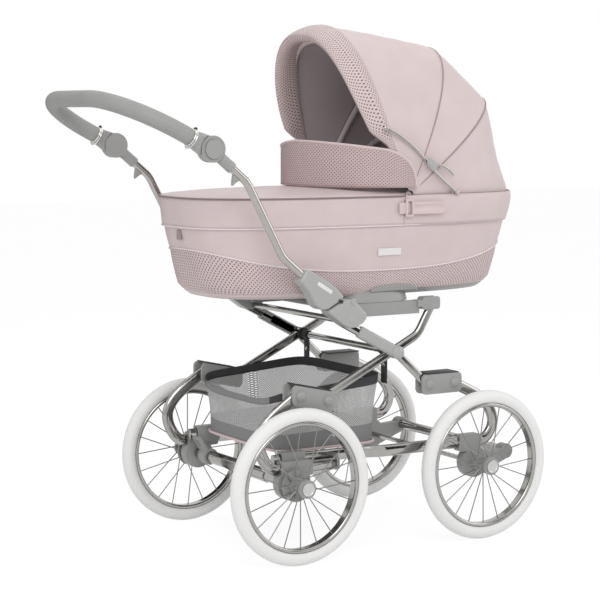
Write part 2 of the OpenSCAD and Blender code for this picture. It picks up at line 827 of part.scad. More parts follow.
module rear_knuckles() color(grey) placed() both_sides() rear_knuckle();
module front_knuckles() color(grey) placed() both_sides() front_knuckle();

// Handle hinges: a base on each front leg and an upper half that carries the handle tube

rail_y = inner_y - rail_w / 4;
hinge_in_y = rail_y + rail_w / 2 + slip_gap * 2;
hinge_out_y = handle_y + handle_d / 2 + block_wall;
hinge_mid_y = (hinge_in_y + hinge_out_y) / 2;
hinge_t = hinge_out_y - hinge_in_y;
hinge_r = 7;
hinge_tongue_t = 12;
hinge_eye_d = 26;
hinge_pin_d = 8;
hinge_len = 140;
hinge_w = 86;
seam_gap = 1.2;
// Outlines of the two halves from the fold pivot, as shares of the housing's length and width
hinge_lean = 30;
base_shares = [[-0.4, -0.23], [0.05, -0.72], [0.29, -0.74], [0.39, -0.42], [0.12, 0], [-0.08, 0.07]];
upper_shares = [[-0.43, -0.21], [-0.09, 0.1], [-0.44, 0.58], [-0.8, 0.98], [-0.98, 0.68], [-0.78, 0.18],
    [-0.65, -0.17]];
function hinge_outline(shares, lift) = [
    for (s = shares) handle_pivot + [s[0] * hinge_len, s[1] * hinge_w] 
        + lift * [-sin(hinge_lean), cos(hinge_lean)]
];

module hinge_base() {
    difference() {
        union() {
            plate(hinge_outline(base_shares, 0), hinge_r, hinge_mid_y, hinge_t);
            across(handle_pivot, hinge_in_y) cylinder(d = hinge_eye_d, h = hinge_t);
        }
        across(handle_pivot, hinge_mid_y - hinge_tongue_t / 2 - slip_gap)
            cylinder(d = hinge_eye_d + 4 * slip_gap + 2 * seam_gap, h = hinge_tongue_t + 2 * slip_gap);
        translate([handle_pivot[0] - hinge_eye_d, hinge_mid_y - hinge_tongue_t / 2 - slip_gap,
            handle_pivot[1] - hinge_eye_d / 3])
            cube([hinge_eye_d, hinge_tongue_t + 2 * slip_gap, hinge_eye_d]);
        across(handle_pivot, hinge_in_y - over)
            cylinder(r = hinge_pin_d / 2 + run_gap, h = hinge_t + 2 * over);
        leg_run(leg_top, scissor, slip_gap / 4);
    }
}

module hinge_upper() {
    difference() {
        union() {
            difference() {
                plate(hinge_outline(upper_shares, seam_gap), hinge_r, hinge_mid_y, hinge_t);
                across(handle_pivot, hinge_in_y - over)
                    cylinder(d = hinge_eye_d + 2 * seam_gap, h = hinge_t + 2 * over);
            }
            across(handle_pivot, hinge_mid_y - hinge_tongue_t / 2)
                cylinder(d = hinge_eye_d, h = hinge_tongue_t);
            translate([handle_pivot[0] - hinge_eye_d, hinge_mid_y - hinge_tongue_t / 2, handle_pivot[1]])
                cube([hinge_eye_d, hinge_tongue_t, hinge_eye_d / 2]);
        }
        across(handle_pivot, hinge_in_y - over)
            cylinder(r = hinge_pin_d / 2 + run_gap, h = hinge_t + 2 * over);
        in_plane(handle_y)
            bent_tube(handle_path, handle_bend, handle_d + slip_gap / 2, handle_d + slip_gap / 2);
    }
}

module hinge_bases() color(grey) placed() both_sides() hinge_base();
module hinge_uppers() color(grey) placed() both_sides() hinge_upper();

hinge_pin_head_d = 14;
hinge_pin_head_t = 2;

module hinge_pins() color(chrome) placed() both_sides() {
    across(handle_pivot, hinge_in_y) cylinder(d = hinge_pin_d, h = hinge_t + slip_gap);
    across(handle_pivot, hinge_out_y + slip_gap / 4) cylinder(d = hinge_pin_head_d, h = hinge_pin_head_t);
}

// Carrier that holds the bassinet: two rails on pins at the rear legs, resting on a tube at the hinges

rest_d = 14;
rest_back = 131;
rest = [scissor[0] - rest_back, carrier_z - rest_d / 2 - slip_gap];
rail_back_x = -112;
rail_front_gap = 30;
rail_cut_back = 11;
rail_lap = 14;
cheek_t = 4.5;
cheek_r = 7;
cheek_back = 36;
cheek_front = 13.5;
cheek_low = 16;
cheek_high = 14;
carrier_cross_d = 16;
carrier_cross_shares = [0.2, 0.82];

module carrier_rest_tube() color(chrome) placed()
    across(rest, -hinge_in_y + slip_gap / 4) cylinder(d = rest_d, h = 2 * hinge_in_y - slip_gap / 2);

module carrier_cheek(y) {
    plate(box_of(carrier_pin[0] - cheek_back, carrier_pin[1] - cheek_low, carrier_pin[0] + cheek_front,
        carrier_pin[1] + cheek_high), cheek_r, y, cheek_t);
}

module carrier_side() {
    in_y = inner_y - leg_t / 2 - slip_gap - cheek_t / 2;
    out_y = inner_y + leg_t / 2 + slip_gap + cheek_t / 2;
    run = carrier_pin[0] - rail_front_gap - rail_cut_back - rail_back_x;
    translate([rail_back_x, rail_y - rail_w / 2, carrier_z]) cube([run, rail_w, rail_h]);
    carrier_cheek(in_y);
    carrier_cheek(out_y);
    translate([carrier_pin[0] - cheek_back - rail_lap, in_y - cheek_t / 2, carrier_pin[1] - cheek_low + cheek_r])
        cube([cheek_back + rail_lap - rail_front_gap, out_y - in_y + cheek_t, cheek_low]);
    across(carrier_pin, in_y) cylinder(d = pivot_bolt_d, h = out_y - in_y);
}

module carrier_frame() color(grey) placed() {
    both_sides() carrier_side();
    for (s = carrier_cross_shares)
        across([rail_back_x + s * (carrier_pin[0] - rail_back_x), carrier_z + rail_h / 2], -rail_y)
            cylinder(d = carrier_cross_d, h = 2 * rail_y);
}

// Handle tubes with their sleeves and fold triggers

handle_bend = 60;
handle_stop = 34;
handle_shares = [[0.24, 0.085], [0.5, 0.31], [0.752, 0.79]];
handle_slope = atan2(handle_up * (1 - handle_shares[2][1]), handle_back * (1 - handle_shares[2][0]));
handle_end = tilt_joint + handle_stop * [cos(handle_slope), -sin(handle_slope)];
handle_path = concat(
    [for (s = handle_shares) handle_pivot + [-s[0] * handle_back, s[1] * handle_up]], [handle_end]);
sleeve_len = 66;
sleeve_d = 25;
tilt_t = 11;
tilt_pin_d = 10;
tilt_face_y = handle_y + slip_gap / 2;
neck_w = 20;
trigger_gap = 11;
trigger_len = 15;
trigger_d = 27;
fin_l = 20;
fin_h = 14;
fin_t = 6;

module handle_tube() {
    in_plane(handle_y) bent_tube(handle_path, handle_bend, handle_d, handle_d);
}

module handle_tube_left() color(chrome) placed() on_side(1) handle_tube();
module handle_tube_right() color(chrome) placed() on_side(-1) handle_tube();

// Draws along the top run of a handle tube, from the tilt joint down
module down_the_handle() {
    translate([tilt_joint[0], handle_y, tilt_joint[1]]) rotate([0, handle_slope, 0]) children();
}

module handle_sleeve() {
    difference() {
        union() {
            down_the_handle() translate([tilt_d / 2 + over, 0, 0]) rotate([0, 90, 0])
                cylinder(d = sleeve_d, h = sleeve_len - tilt_d / 2 - over);
            down_the_handle() translate([0, -tilt_t, -neck_w / 2])
                cube([tilt_d / 2 + 2 * over, tilt_t - slip_gap, neck_w]);
            across(tilt_joint, handle_y - tilt_t) cylinder(d = tilt_d, h = tilt_t - slip_gap);
        }
        down_the_handle() translate([handle_stop - slip_gap, 0, 0]) rotate([0, 90, 0])
            cylinder(r = handle_d / 2 + slip_gap / 4, h = sleeve_len);
        across(tilt_joint, handle_y - tilt_t - over)
            cylinder(r = tilt_pin_d / 2 + run_gap, h = tilt_t + 2 * over);
    }
}

module handle_sleeves() color(grey) placed() both_sides() handle_sleeve();

module fold_trigger() {
    down_the_handle() translate([sleeve_len + trigger_gap, 0, 0]) difference() {
        union() {
            rotate([0, 90, 0]) cylinder(d = trigger_d, h = trigger_len);
            translate([trigger_len - fin_l / 2, -fin_t / 2, -trigger_d / 2 - fin_h / 2])
                cube([fin_l / 2, fin_t, fin_h]);
        }
        translate([-over, 0, 0]) rotate([0, 90, 0])
            cylinder(r = handle_d / 2 + slip_gap, h = trigger_len + 2 * over);
    }
}

module fold_triggers() color(grey) placed() both_sides() fold_trigger();

// Grip: a bow that tilts on the handle's ends, its padded cover, buttons and bag rings

bow_d = 20;
bow_bend = 160;
cover_start = 56;
tilt_out_t = 13;
button_d = 42;
button_t = 5;
button_seat = 5.5;
ring_band_d = 27;
ring_band_w = 9;
ring_d = 30;
ring_wire = 4;

// Draws in the plane of the grip, with X running back from the tilt joints
module grip_plane() {
    translate([tilt_joint[0], 0, tilt_joint[1]]) rotate([0, 180 + grip_rise, 0]) children();
}

function grip_path(start) = [[start, -handle_y], [grip_len, -handle_y], [grip_len, handle_y],
    [start, handle_y]];

module tilt_half() {
    difference() {
        union() {
            across(tilt_joint, tilt_face_y) cylinder(d = tilt_d, h = tilt_out_t);
            across(tilt_joint, handle_y - tilt_t) cylinder(d = tilt_pin_d, h = tilt_t + over);
        }
        across(tilt_joint, tilt_face_y + tilt_out_t - button_seat)
            cylinder(d = button_d + 2 * slip_gap, h = button_seat + over);
    }
}

module grip_bow() color(grey) placed() {
    grip_plane() bent_tube(grip_path(tilt_d / 2 + over), bow_bend, bow_d, bow_d);
    both_sides() {
        tilt_half();
        translate([tilt_joint[0], tilt_face_y, tilt_joint[1]]) rotate([0, 180 + grip_rise, 0])
            translate([tilt_d / 4, 0, -neck_w / 2]) cube([tilt_d / 3, bow_d / 2, neck_w]);
    }
}

module grip_cover() color(grey) placed() grip_plane() difference() {
    bent_tube(grip_path(cover_start), bow_bend, grip_d, grip_d);
    bent_tube(grip_path(cover_start - over), bow_bend, bow_d + slip_gap / 2, bow_d + slip_gap / 2);
}

module tilt_button() {
    across(tilt_joint, tilt_face_y + tilt_out_t - slip_gap * 2) cylinder(d = button_d, h = button_t);
}

module tilt_button_left() color(grey) placed() on_side(1) tilt_button();
module tilt_button_right() color(grey) placed() on_side(-1) tilt_button();

module bag_rings() color(chrome) placed() both_sides() grip_plane()
    translate([cover_start - ring_band_w - slip_gap, handle_y, 0]) {
        difference() {
            union() {
                rotate([0, 90, 0]) cylinder(d = ring_band_d, h = ring_band_w);
                translate([ring_band_w / 2, 0, ring_band_d / 2 + ring_d / 2 - ring_wire / 2])
                    rotate([90, 0, 90])
                    rotate_extrude() translate([ring_d / 2 - ring_wire / 2, 0]) circle(d = ring_wire);
            }
            translate([-over, 0, 0]) rotate([0, 90, 0])
                cylinder(r = bow_d / 2 + run_gap, h = ring_band_w + 2 * over);
        }
    }

// Bassinet: a plastic base with a saddle for the rails, a padded shell and a mattress

saddle_half_l = 118;
saddle_half_w = bassinet_w / 2;
base_drop = 15;
base_inset = 44;
rear_taper = 55;
front_taper = 70;
side_taper = 15;
bottom_half_l = bassinet_l / 2 - (rear_taper + front_taper) / 2;
bottom_half_w = bassinet_w / 2 - side_taper;
bottom_ahead = bassinet_ahead + (rear_taper - front_taper) / 2;
floor_t = 12;
bead = 4;
shell_seat = shell_z + slip_gap / 2;
// Height and width of the shell's rings, as shares from the bottom to the rim
shell_shares = [[0, 0], [0.06, 0.22], [0.3, 0.46], [0.62, 0.74], [0.97, 1]];

function shell_ring(height_share, width_share, inset) = plan_ring(
    bottom_ahead + width_share * (bassinet_ahead - bottom_ahead),
    bottom_half_l + width_share * (bassinet_l / 2 - bottom_half_l) - inset,
    bottom_half_w + width_share * (bassinet_w / 2 - bottom_half_w) - inset,
    shell_seat + height_share * (bassinet_h - slip_gap / 2)
);
function floor_ring(inset,
    rise) = [for (p = shell_ring(0, shell_shares[1][1], inset)) [p[0], p[1], p[2] + rise]];

module bassinet_base() color(grey) placed() {
    loft([
        plan_ring(bottom_ahead, saddle_half_l, saddle_half_w, saddle_z),
        plan_ring(bottom_ahead, saddle_half_l, bottom_half_w, shell_z)
    ]);
    loft([
        plan_ring(bottom_ahead, bottom_half_l - base_inset, bottom_half_w - base_inset,
            shell_z - base_drop),
        plan_ring(bottom_ahead, bottom_half_l - bead, bottom_half_w - bead, shell_z)
    ]);
}

module bassinet_shell() color(pink) placed() loft(concat(
    [for (s = shell_shares) shell_ring(s[0], s[1], 0)],
    [shell_ring(1, 1, bead), shell_ring(1, 1, wall_t - bead), shell_ring(shell_shares[4][0], 1, wall_t)],
    [shell_ring(shell_shares[2][0], shell_shares[2][1], wall_t), floor_ring(wall_t, floor_t)]
));

mattress_t = 34;
mattress_gap = 10;

module mattress() color(white) placed() loft([
    floor_ring(wall_t + mattress_gap, floor_t + slip_gap),
    floor_ring(wall_t + mattress_gap - bead, floor_t + mattress_t / 2),
    floor_ring(wall_t + mattress_gap, floor_t + mattress_t)
]);

// Apron: a soft cover over the rear of the bassinet, whose skirt hangs round the rim

apron_t = 4;
apron_ahead = 64;
apron_crown = 20;
apron_steps = 36;
// Size and height of the rows from the rim to the middle of the front edge, as shares of plan and crown
apron_shares = [[1, 0.1], [0.97, 0.3], [0.82, 0.6], [0.6, 0.82], [0.36, 0.95], [0.04, 1]];
apron_from = acos(power_of((apron_ahead - bassinet_ahead) / (bassinet_l / 2), plan_power / 2));

function apron_row(share, grow, z) = [
    for (k = [apron_steps : -1 : 0]) let (
        t = apron_from + k * (360 - 2 * apron_from) / apron_steps,
        p = plan_point(bassinet_l / 2 + grow, bassinet_w / 2 + grow, t),
        front = [apron_ahead - bassinet_ahead, 0],
        q = front + share * (p - front)
    ) [bassinet_ahead + q[0], q[1], z]
];
function apron_grid(grow, lift) = concat(
    [apron_row(1, grow, rim_z - band_h)],
    [for (s = apron_shares) apron_row(s[0], grow, rim_z + s[1] * apron_crown + lift)]
);

module apron() color(pink) placed() sheet(apron_grid(slip_gap + apron_t, apron_t),
    apron_grid(slip_gap, 0));

// Wind flap: a stiffened panel that stands up from the apron in a bow round the hood's mouth

flap_t = 4;
flap_h = 104;
flap_tip_share = 0.2;
flap_shares = [0, 0.5, 1];
flap_end_share = 0.72;
flap_reach = 197;
flap_ahead = 90;
flap_half_w = bassinet_w / 2 + apron_t + 4 * slip_gap;
flap_foot = apron_crown + apron_t + slip_gap;
flap_steps = 28;
flap_round_share = 0.25;

// Height share of the flap along its bow, rounded down at both ends
function flap_height(g) = let (
    e = 1 - abs(g) / 90,
    fall = e > flap_round_share ? 1 : sqrt(1 - pow(1 - e / flap_round_share, 2))
) (flap_end_share + (1 - flap_end_share) * cos(g)) * (flap_tip_share + (1 - flap_tip_share) * fall);
function flap_row(height_share, grow) = [
    for (k = [0 : flap_steps]) let (g = -90 + k * 180 / flap_steps)
        [flap_ahead - (flap_reach + grow) * cos(g), (flap_half_w + grow) * sin(g),
            rim_z + flap_foot + height_share * flap_h * flap_height(g)]
];
function flap_grid(grow) = [for (s = flap_shares) flap_row(s, grow)];

module wind_flap() color(pink_mesh) placed() sheet(flap_grid(flap_t), flap_grid(0));

// Side buckles that fasten the apron to the bassinet

buckle_l = 14;
buckle_h = 36;
buckle_t = 3;
buckle_strap_l = 78;
buckle_strap_h = 13;
buckle_drop = 30;
buckle_in = 0.6;

module side_buckles() color(grey) placed() both_sides()
    translate([apron_ahead + buckle_t, bassinet_w / 2 - buckle_in, rim_z - buckle_drop]) {
        translate([0, 0, -buckle_h / 2]) cube([buckle_l, buckle_t, buckle_h]);
        translate([buckle_l, 0, -buckle_strap_h / 2]) cube([buckle_strap_l, buckle_t, buckle_strap_h]);
    }

// Hood: bows that turn on two pivots at the rim, with padded fabric between them

arch_power = 2.5;
arch_steps = 28;
hood_in = 2;
hood_half_w = bassinet_w / 2 - hood_in;
hood_root_r = 46;
mid_angle = 26;
rear_angle = 54;
hem_angle = 88;
band_angle = 9;
band_t = 8;
hem_r = reach_front - hood_pivot[0] - hood_in;
bow_rod_d = 6;
eye_t = 4;
bow_eye_d = 15;
hood_pin_d = 6;

// A point of the hood at an angle from upright, a place round the arch, a radius and a half width
function hood_point(angle, t, r, w) = let (
    y = w * power_of(cos(t), 2 / arch_power),
    q = r * pow(sin(t), 2 / arch_power)
) [hood_pivot[0] + q * sin(angle), y, hood_pivot[1] + q * cos(angle)];
// The place round an arch where it reaches the hood's root
function root_place(r) = asin(pow(hood_root_r / r, arch_power / 2));
function arch_row(angle, r, w) = let (t0 = root_place(r)) [
    for (k = [arch_steps : -1 : 0]) hood_point(angle, t0 + k * (180 - 2 * t0) / arch_steps, r, w)
];
// Padded fabric through rows of [angle, radius]
function hood_grid(rows,
    inset) = [for (row = rows) arch_row(row[0], row[1] - inset, hood_half_w - inset)];

module hood_fabric(rows, t) {
    sheet(hood_grid(rows, 0), hood_grid(rows, t));
}

// Rod of a bow, swept round its arch from one pivot eye to the other
rod_sides = 8;
function rod_ring(angle, t, r, w) = let (
    a = hood_point(angle, max(t - over, 0), r, w),
    b = hood_point(angle, min(t + over, 180), r, w),
    c = hood_point(angle, t, r, w),
    along_arch = (b - a) / norm(b - a),
    side = [cos(angle), 0, -sin(angle)],
    up = cross(along_arch, side)
) [for (k = [0 : rod_sides - 1])
    c + bow_rod_d / 2 * (cos(k * 360 / rod_sides) * side + sin(k * 360 / rod_sides) * up)];

// Eye of a bow on the hood pivots
module bow_eye(y) {
    difference() {
        across(hood_pivot, y - eye_t / 2) cylinder(d = bow_eye_d, h = eye_t);
        across(hood_pivot, y - eye_t) cylinder(r = hood_pin_d / 2 + run_gap, h = 2 * eye_t);
    }
}

ear_y = bassinet_w / 2 - wall_t / 2;
front_eye_y = ear_y + eye_t + slip_gap;
mid_eye_y = ear_y - (eye_t + bow_rod_d) / 2 - slip_gap;
rear_eye_y = mid_eye_y - bow_rod_d - slip_gap;

mid_rod_r = mid_bow_r - hood_t - bow_rod_d / 2 - slip_gap;
rear_rod_r = rear_bow_r - hood_t - bow_rod_d / 2 - slip_gap;
band_end = band_angle - front_angle;
band_r = front_bow_r - band_t / 2;
seam_angle = 0.06;
front_gore_sag = 24;
rear_gore_sag = 4;
band_arm_w = 14;
// Rows of each panel from its front seam to its rear seam
band_rows = [[-front_angle, front_bow_r - band_t / 4],
    [(band_end - front_angle) / 2, front_bow_r], [band_end, band_r]];
front_gore_rows = [
    [band_end + seam_angle, band_r - band_t / 4],
    [band_end + (mid_angle - band_end) / 4, band_r - front_gore_sag],
    [band_end + (mid_angle - band_end) / 2, (band_r + mid_bow_r) / 2 - front_gore_sag],
    [band_end + (mid_angle - band_end) * 3 / 4, mid_bow_r - front_gore_sag / 2],
    [mid_angle, mid_bow_r]
];
mid_gore_rows = [
    [mid_angle + seam_angle, mid_bow_r],
    [(mid_angle + rear_angle) / 2, (mid_bow_r + rear_bow_r) / 2 - rear_gore_sag],
    [rear_angle, rear_bow_r]
];
rear_gore_rows = [
    [rear_angle + seam_angle, rear_bow_r],
    [(rear_angle + hem_angle) / 2, (rear_bow_r + hem_r) / 2],
    [hem_angle, hem_r]
];
// Hood stay, a two-link arm outside the hood on each side, from the front band to the rim
stay_w = 13;
stay_t = 4;
stay_y = front_eye_y + (eye_t + stay_t) / 2 + 2 * slip_gap;
stay_low_y = stay_y + stay_t + slip_gap;
stay_top_angle = -24;
stay_top_r = 168;
stay_top = hood_pivot + stay_top_r * [sin(stay_top_angle), cos(stay_top_angle)];
stay_foot_share = 0.435955;
stay_foot_ahead = bassinet_ahead + stay_foot_share * bassinet_l / 2 - hood_pivot[0];
stay_foot_rise = 3;
stay_foot = hood_pivot + [stay_foot_ahead, stay_foot_rise];
// The stay's middle joint, as shares of the way from its top to its foot
stay_joint_shares = [0.59, 0.547];
stay_joint = [stay_top[0] + stay_joint_shares[0] * (stay_foot[0] - stay_top[0]),
    stay_top[1] + stay_joint_shares[1] * (stay_foot[1] - stay_top[1])];
stay_pin_d = 6;
stay_boss_d = 11;
stay_boss_len = 6;
stay_knob_d = 20;
stay_knob_t = 7;
stay_end_d = 14;
stay_lever_l = 66;
stay_lever_w = 11;
stay_lever_fall = 17;
bracket_w = 18;
bracket_t = 4.4;
bracket_drop = 38;

module hood_front_band() color(pink_mesh) placed() {
    hood_fabric(band_rows, band_t);
    both_sides() {
        bow_eye(front_eye_y);
        translate([hood_pivot[0], front_eye_y - eye_t / 2, hood_pivot[1]])
            rotate([0, (band_end - front_angle) / 2, 0])
            translate([-band_arm_w / 2, 0, bow_eye_d / 3])
                cube([band_arm_w, eye_t, hood_root_r - 2 * over - bow_eye_d / 3]);
        across(stay_top, stay_y - stay_t / 2 - slip_gap - stay_boss_len)
            cylinder(d = stay_boss_d, h = stay_boss_len);
        across(stay_top, stay_y - stay_t) cylinder(d = stay_pin_d, h = 2 * stay_t);
    }
}

// A bow's rod and its two eyes
module hood_bow(angle, r, eye_y) {
    start = asin(pow((bow_eye_d / 2 - over) / r, arch_power / 2));
    step = (180 - 2 * start) / arch_steps;
    loft([for (k = [0 : arch_steps]) rod_ring(angle, start + k * step, r, eye_y)]);
    both_sides() bow_eye(eye_y);
}

module hood_bow_mid() color(chrome) placed() hood_bow(mid_angle, mid_rod_r, mid_eye_y);
module hood_bow_rear() color(chrome) placed() hood_bow(rear_angle, rear_rod_r, rear_eye_y);
module hood_gore_front() color(pink) placed() hood_fabric(front_gore_rows, hood_t);
module hood_gore_mid() color(pink) placed() hood_fabric(mid_gore_rows, hood_t);
module hood_gore_rear() color(pink) placed() hood_fabric(rear_gore_rows, hood_t);

// Ears on the rim with the pins that the bows turn on, and the brackets at the feet of the stays
module hood_pivot_bracket() {
    pin_y = rear_eye_y - eye_t;
    across(hood_pivot, pin_y) cylinder(d = hood_pin_d, h = front_eye_y + eye_t - pin_y);
    across(hood_pivot, ear_y - eye_t / 2) cylinder(d = bow_eye_d, h = eye_t);
    translate([hood_pivot[0] - bow_eye_d / 2, ear_y - eye_t / 2, rim_z + slip_gap / 2])
        cube([bow_eye_d, eye_t, hood_pivot_rise - slip_gap / 2]);
    foot_y = stay_y - stay_t / 2 - slip_gap - bracket_t;
    translate([stay_foot[0] - bracket_w / 2, foot_y, stay_foot[1] - bracket_drop])
        cube([bracket_w, bracket_t, bracket_drop]);
    across(stay_foot, foot_y) cylinder(d = bracket_w, h = bracket_t);
    across(stay_foot, foot_y) cylinder(d = stay_pin_d, h = stay_low_y + stay_t - foot_y);
}

module hood_pivot_brackets() color(grey) placed() both_sides() hood_pivot_bracket();

// A flat link between two places, with round ends where they are listed and a pin hole at the first
module stay_link(a, b, y, ends) {
    difference() {
        union() {
            translate([a[0], y, a[1]]) rotate([0, -heading(a, b), 0])
                translate([0, -stay_t / 2, -stay_w / 2])
                cube([norm(b - a), stay_t, stay_w]);
            for (place = ends) pivot_eye(place, y, stay_t, stay_end_d);
        }
        across(a, y - stay_t) cylinder(r = stay_pin_d / 2 + run_gap, h = 2 * stay_t);
    }
}

module hood_stay_upper() color(grey) placed() both_sides()
    stay_link(stay_top, stay_joint, stay_y, [stay_top, stay_joint]);

module hood_stay_lower() color(grey) placed() both_sides() {
    stay_link(stay_foot, stay_joint, stay_low_y, [stay_foot]);
    across(stay_joint, stay_low_y - stay_t / 2 + eye_proud) cylinder(d = stay_knob_d, h = stay_knob_t);
    translate([stay_joint[0], stay_low_y + stay_t / 4, stay_joint[1]]) rotate([0, stay_lever_fall, 0])
        translate([0, 0, -stay_lever_w / 2]) cube([stay_lever_l, stay_t / 2, stay_lever_w]);
}

tyre_rear_left();
tyre_rear_right();
tyre_front_left();
tyre_front_right();
spoked_rim_rear_left();
spoked_rim_rear_right();
spoked_rim_front_left();
spoked_rim_front_right();
hub_rear_left();
hub_rear_right();
hub_front_left();
hub_front_right();
rear_axle();
front_axle();
rear_spring_tube_left();
rear_spring_tube_right();
front_spring_tube_left();
front_spring_tube_right();
rear_axle_blocks();
front_axle_blocks();
rear_cross_tube();
front_cross_tube();
tail_end_caps();
brake_pedal();
basket();
basket_straps();
rear_legs();
front_legs();
rear_knuckles();
front_knuckles();
scissor_axle();
hinge_bases();
hinge_uppers();
hinge_pins();
carrier_rest_tube();
carrier_frame();
handle_tube_left();
handle_tube_right();
handle_sleeves();
fold_triggers();
grip_bow();
grip_cover();
tilt_button_left();
tilt_button_right();
bag_rings();
bassinet_base();
bassinet_shell();
mattress();
apron();
wind_flap();
side_buckles();
hood_pivot_brackets();
hood_front_band();
hood_bow_mid();
hood_bow_rear();
hood_gore_front();
hood_gore_mid();
hood_gore_rear();
hood_stay_upper();
hood_stay_lower();
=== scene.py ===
import json
from math import asin, atan2, copysign, cos, degrees, exp, hypot, pi, radians, sin, sqrt

import bpy
import numpy as np
from mathutils import Matrix, Vector, noise

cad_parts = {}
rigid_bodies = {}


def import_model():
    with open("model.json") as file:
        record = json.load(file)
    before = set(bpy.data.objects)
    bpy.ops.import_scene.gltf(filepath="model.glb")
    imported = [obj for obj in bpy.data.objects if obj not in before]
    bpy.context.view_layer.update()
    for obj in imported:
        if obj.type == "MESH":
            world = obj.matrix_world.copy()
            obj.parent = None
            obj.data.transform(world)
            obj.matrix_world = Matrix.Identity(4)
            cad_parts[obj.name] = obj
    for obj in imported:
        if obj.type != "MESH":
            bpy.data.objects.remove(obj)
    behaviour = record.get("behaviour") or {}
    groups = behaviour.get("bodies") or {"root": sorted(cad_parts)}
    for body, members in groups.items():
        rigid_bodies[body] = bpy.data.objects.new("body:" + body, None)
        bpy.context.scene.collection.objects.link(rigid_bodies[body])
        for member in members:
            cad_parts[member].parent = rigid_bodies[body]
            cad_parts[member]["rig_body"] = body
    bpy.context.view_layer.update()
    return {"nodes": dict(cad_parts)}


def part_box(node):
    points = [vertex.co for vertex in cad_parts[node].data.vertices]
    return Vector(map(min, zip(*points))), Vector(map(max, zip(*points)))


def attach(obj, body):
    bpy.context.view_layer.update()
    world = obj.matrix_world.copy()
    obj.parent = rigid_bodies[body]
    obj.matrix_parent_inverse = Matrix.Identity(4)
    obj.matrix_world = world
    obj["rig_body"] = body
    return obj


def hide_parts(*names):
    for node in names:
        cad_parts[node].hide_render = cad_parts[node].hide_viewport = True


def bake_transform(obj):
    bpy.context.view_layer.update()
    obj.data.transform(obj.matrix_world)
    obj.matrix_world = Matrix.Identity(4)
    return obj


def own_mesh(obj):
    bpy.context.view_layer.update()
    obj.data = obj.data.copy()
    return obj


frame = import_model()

nodes = frame["nodes"]
scene = bpy.context.scene
scene.view_settings.view_transform = "Standard"

# Camera: stands behind and to the right of the pram at about eye height for a seated person,
# with a long lens. Places are in millimetres from the middle of the wheelbase.
MM = 0.001
REAR_AXLE_X = -255.5
axle_low, axle_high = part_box("rear_axle")
MIDDLE = (axle_low[0] + axle_high[0]) / 2 - REAR_AXLE_X * MM


def at(x, y, z):
    return Vector((x * MM + MIDDLE, y * MM, z * MM))


CAMERA_PLACE = (-2325.0, -3629.2, 1009.7)
CAMERA_LENS, CAMERA_SENSOR, CAMERA_FAR = 108.05, 36, 50
CAMERA_TURN, CAMERA_DIP, CAMERA_ROLL = -31.58, 5.9656, 0.142
lens = bpy.data.cameras.new("photo_camera")
lens.lens = CAMERA_LENS
lens.sensor_width = CAMERA_SENSOR
lens.clip_end = CAMERA_FAR
camera = bpy.data.objects.new("photo_camera", lens)
scene.collection.objects.link(camera)
camera.matrix_world = (
    Matrix.Translation(at(*CAMERA_PLACE))
    @ Matrix.Rotation(radians(CAMERA_TURN), 4, "Z")
    @ Matrix.Rotation(radians(90 - CAMERA_DIP), 4, "X")
    @ Matrix.Rotation(radians(CAMERA_ROLL), 4, "Z")
)
scene.camera = camera


# Studio: a pale seamless floor, a white surround, a broad key lamp, a soft lamp overhead and two fills.
# Dark cards that only polished metal sees give the tubes their streaks.
def linear(code):
    parts = [int(code[k:k + 2], 16) / 255 for k in (1, 3, 5)]
    return tuple(p / 12.92 if p <= 0.04045 else ((p + 0.055) / 1.055) ** 2.4 for p in parts) + (1.0,)


def lay(tree, kind, sockets=None, **settings):
    made = tree.nodes.new("ShaderNode" + kind)
    for key, value in settings.items():
        setattr(made, key, value)
    for key, value in (sockets or {}).items():
        if isinstance(value, bpy.types.NodeSocket):
            tree.links.new(value, made.inputs[key])
        else:
            made.inputs[key].default_value = linear(value) if isinstance(value, str) else value
    return made


def reckoned(tree, operation, first, second):
    return lay(tree, "Math", {0: first, 1: second}, operation=operation).outputs[0]


def mixed(tree, share, dark, light):
    return lay(tree, "Mix", {0: share, 6: dark, 7: light}, data_type="RGBA").outputs[2]


def bare_tree(owner):
    owner.use_nodes = True
    owner.node_tree.nodes.clear()
    return owner.node_tree


def seen_ray(tree):
    path = lay(tree, "LightPath").outputs
    first = reckoned(tree, "MAXIMUM", path["Is Camera Ray"], path["Is Glossy Ray"])
    return reckoned(tree, "MAXIMUM", first, path["Is Transmission Ray"])


def fresh(name, add, **settings):
    bpy.ops.object.select_all(action="DESELECT")
    add(**settings)
    piece = bpy.context.object
    piece.name = piece.data.name = name
    return piece


WORLD_LEVEL = 0.6
FLOOR_SHOWN, FLOOR_GLOW = 0.78, 1.12
FLOOR_SIZE, FLOOR_Z = 30, -0.0005
scene.world = bpy.data.worlds.new("white_surround")
sky = bare_tree(scene.world)
sky_light = lay(sky, "Background", {"Color": "#f4f5f8", "Strength": WORLD_LEVEL})
sky_seen = lay(sky, "Background", {"Color": "#ffffff", "Strength": 1.0})
sky_mix = lay(sky, "MixShader", {0: seen_ray(sky), 1: sky_light.outputs[0], 2: sky_seen.outputs[0]})
lay(sky, "OutputWorld", {"Surface": sky_mix.outputs[0]})

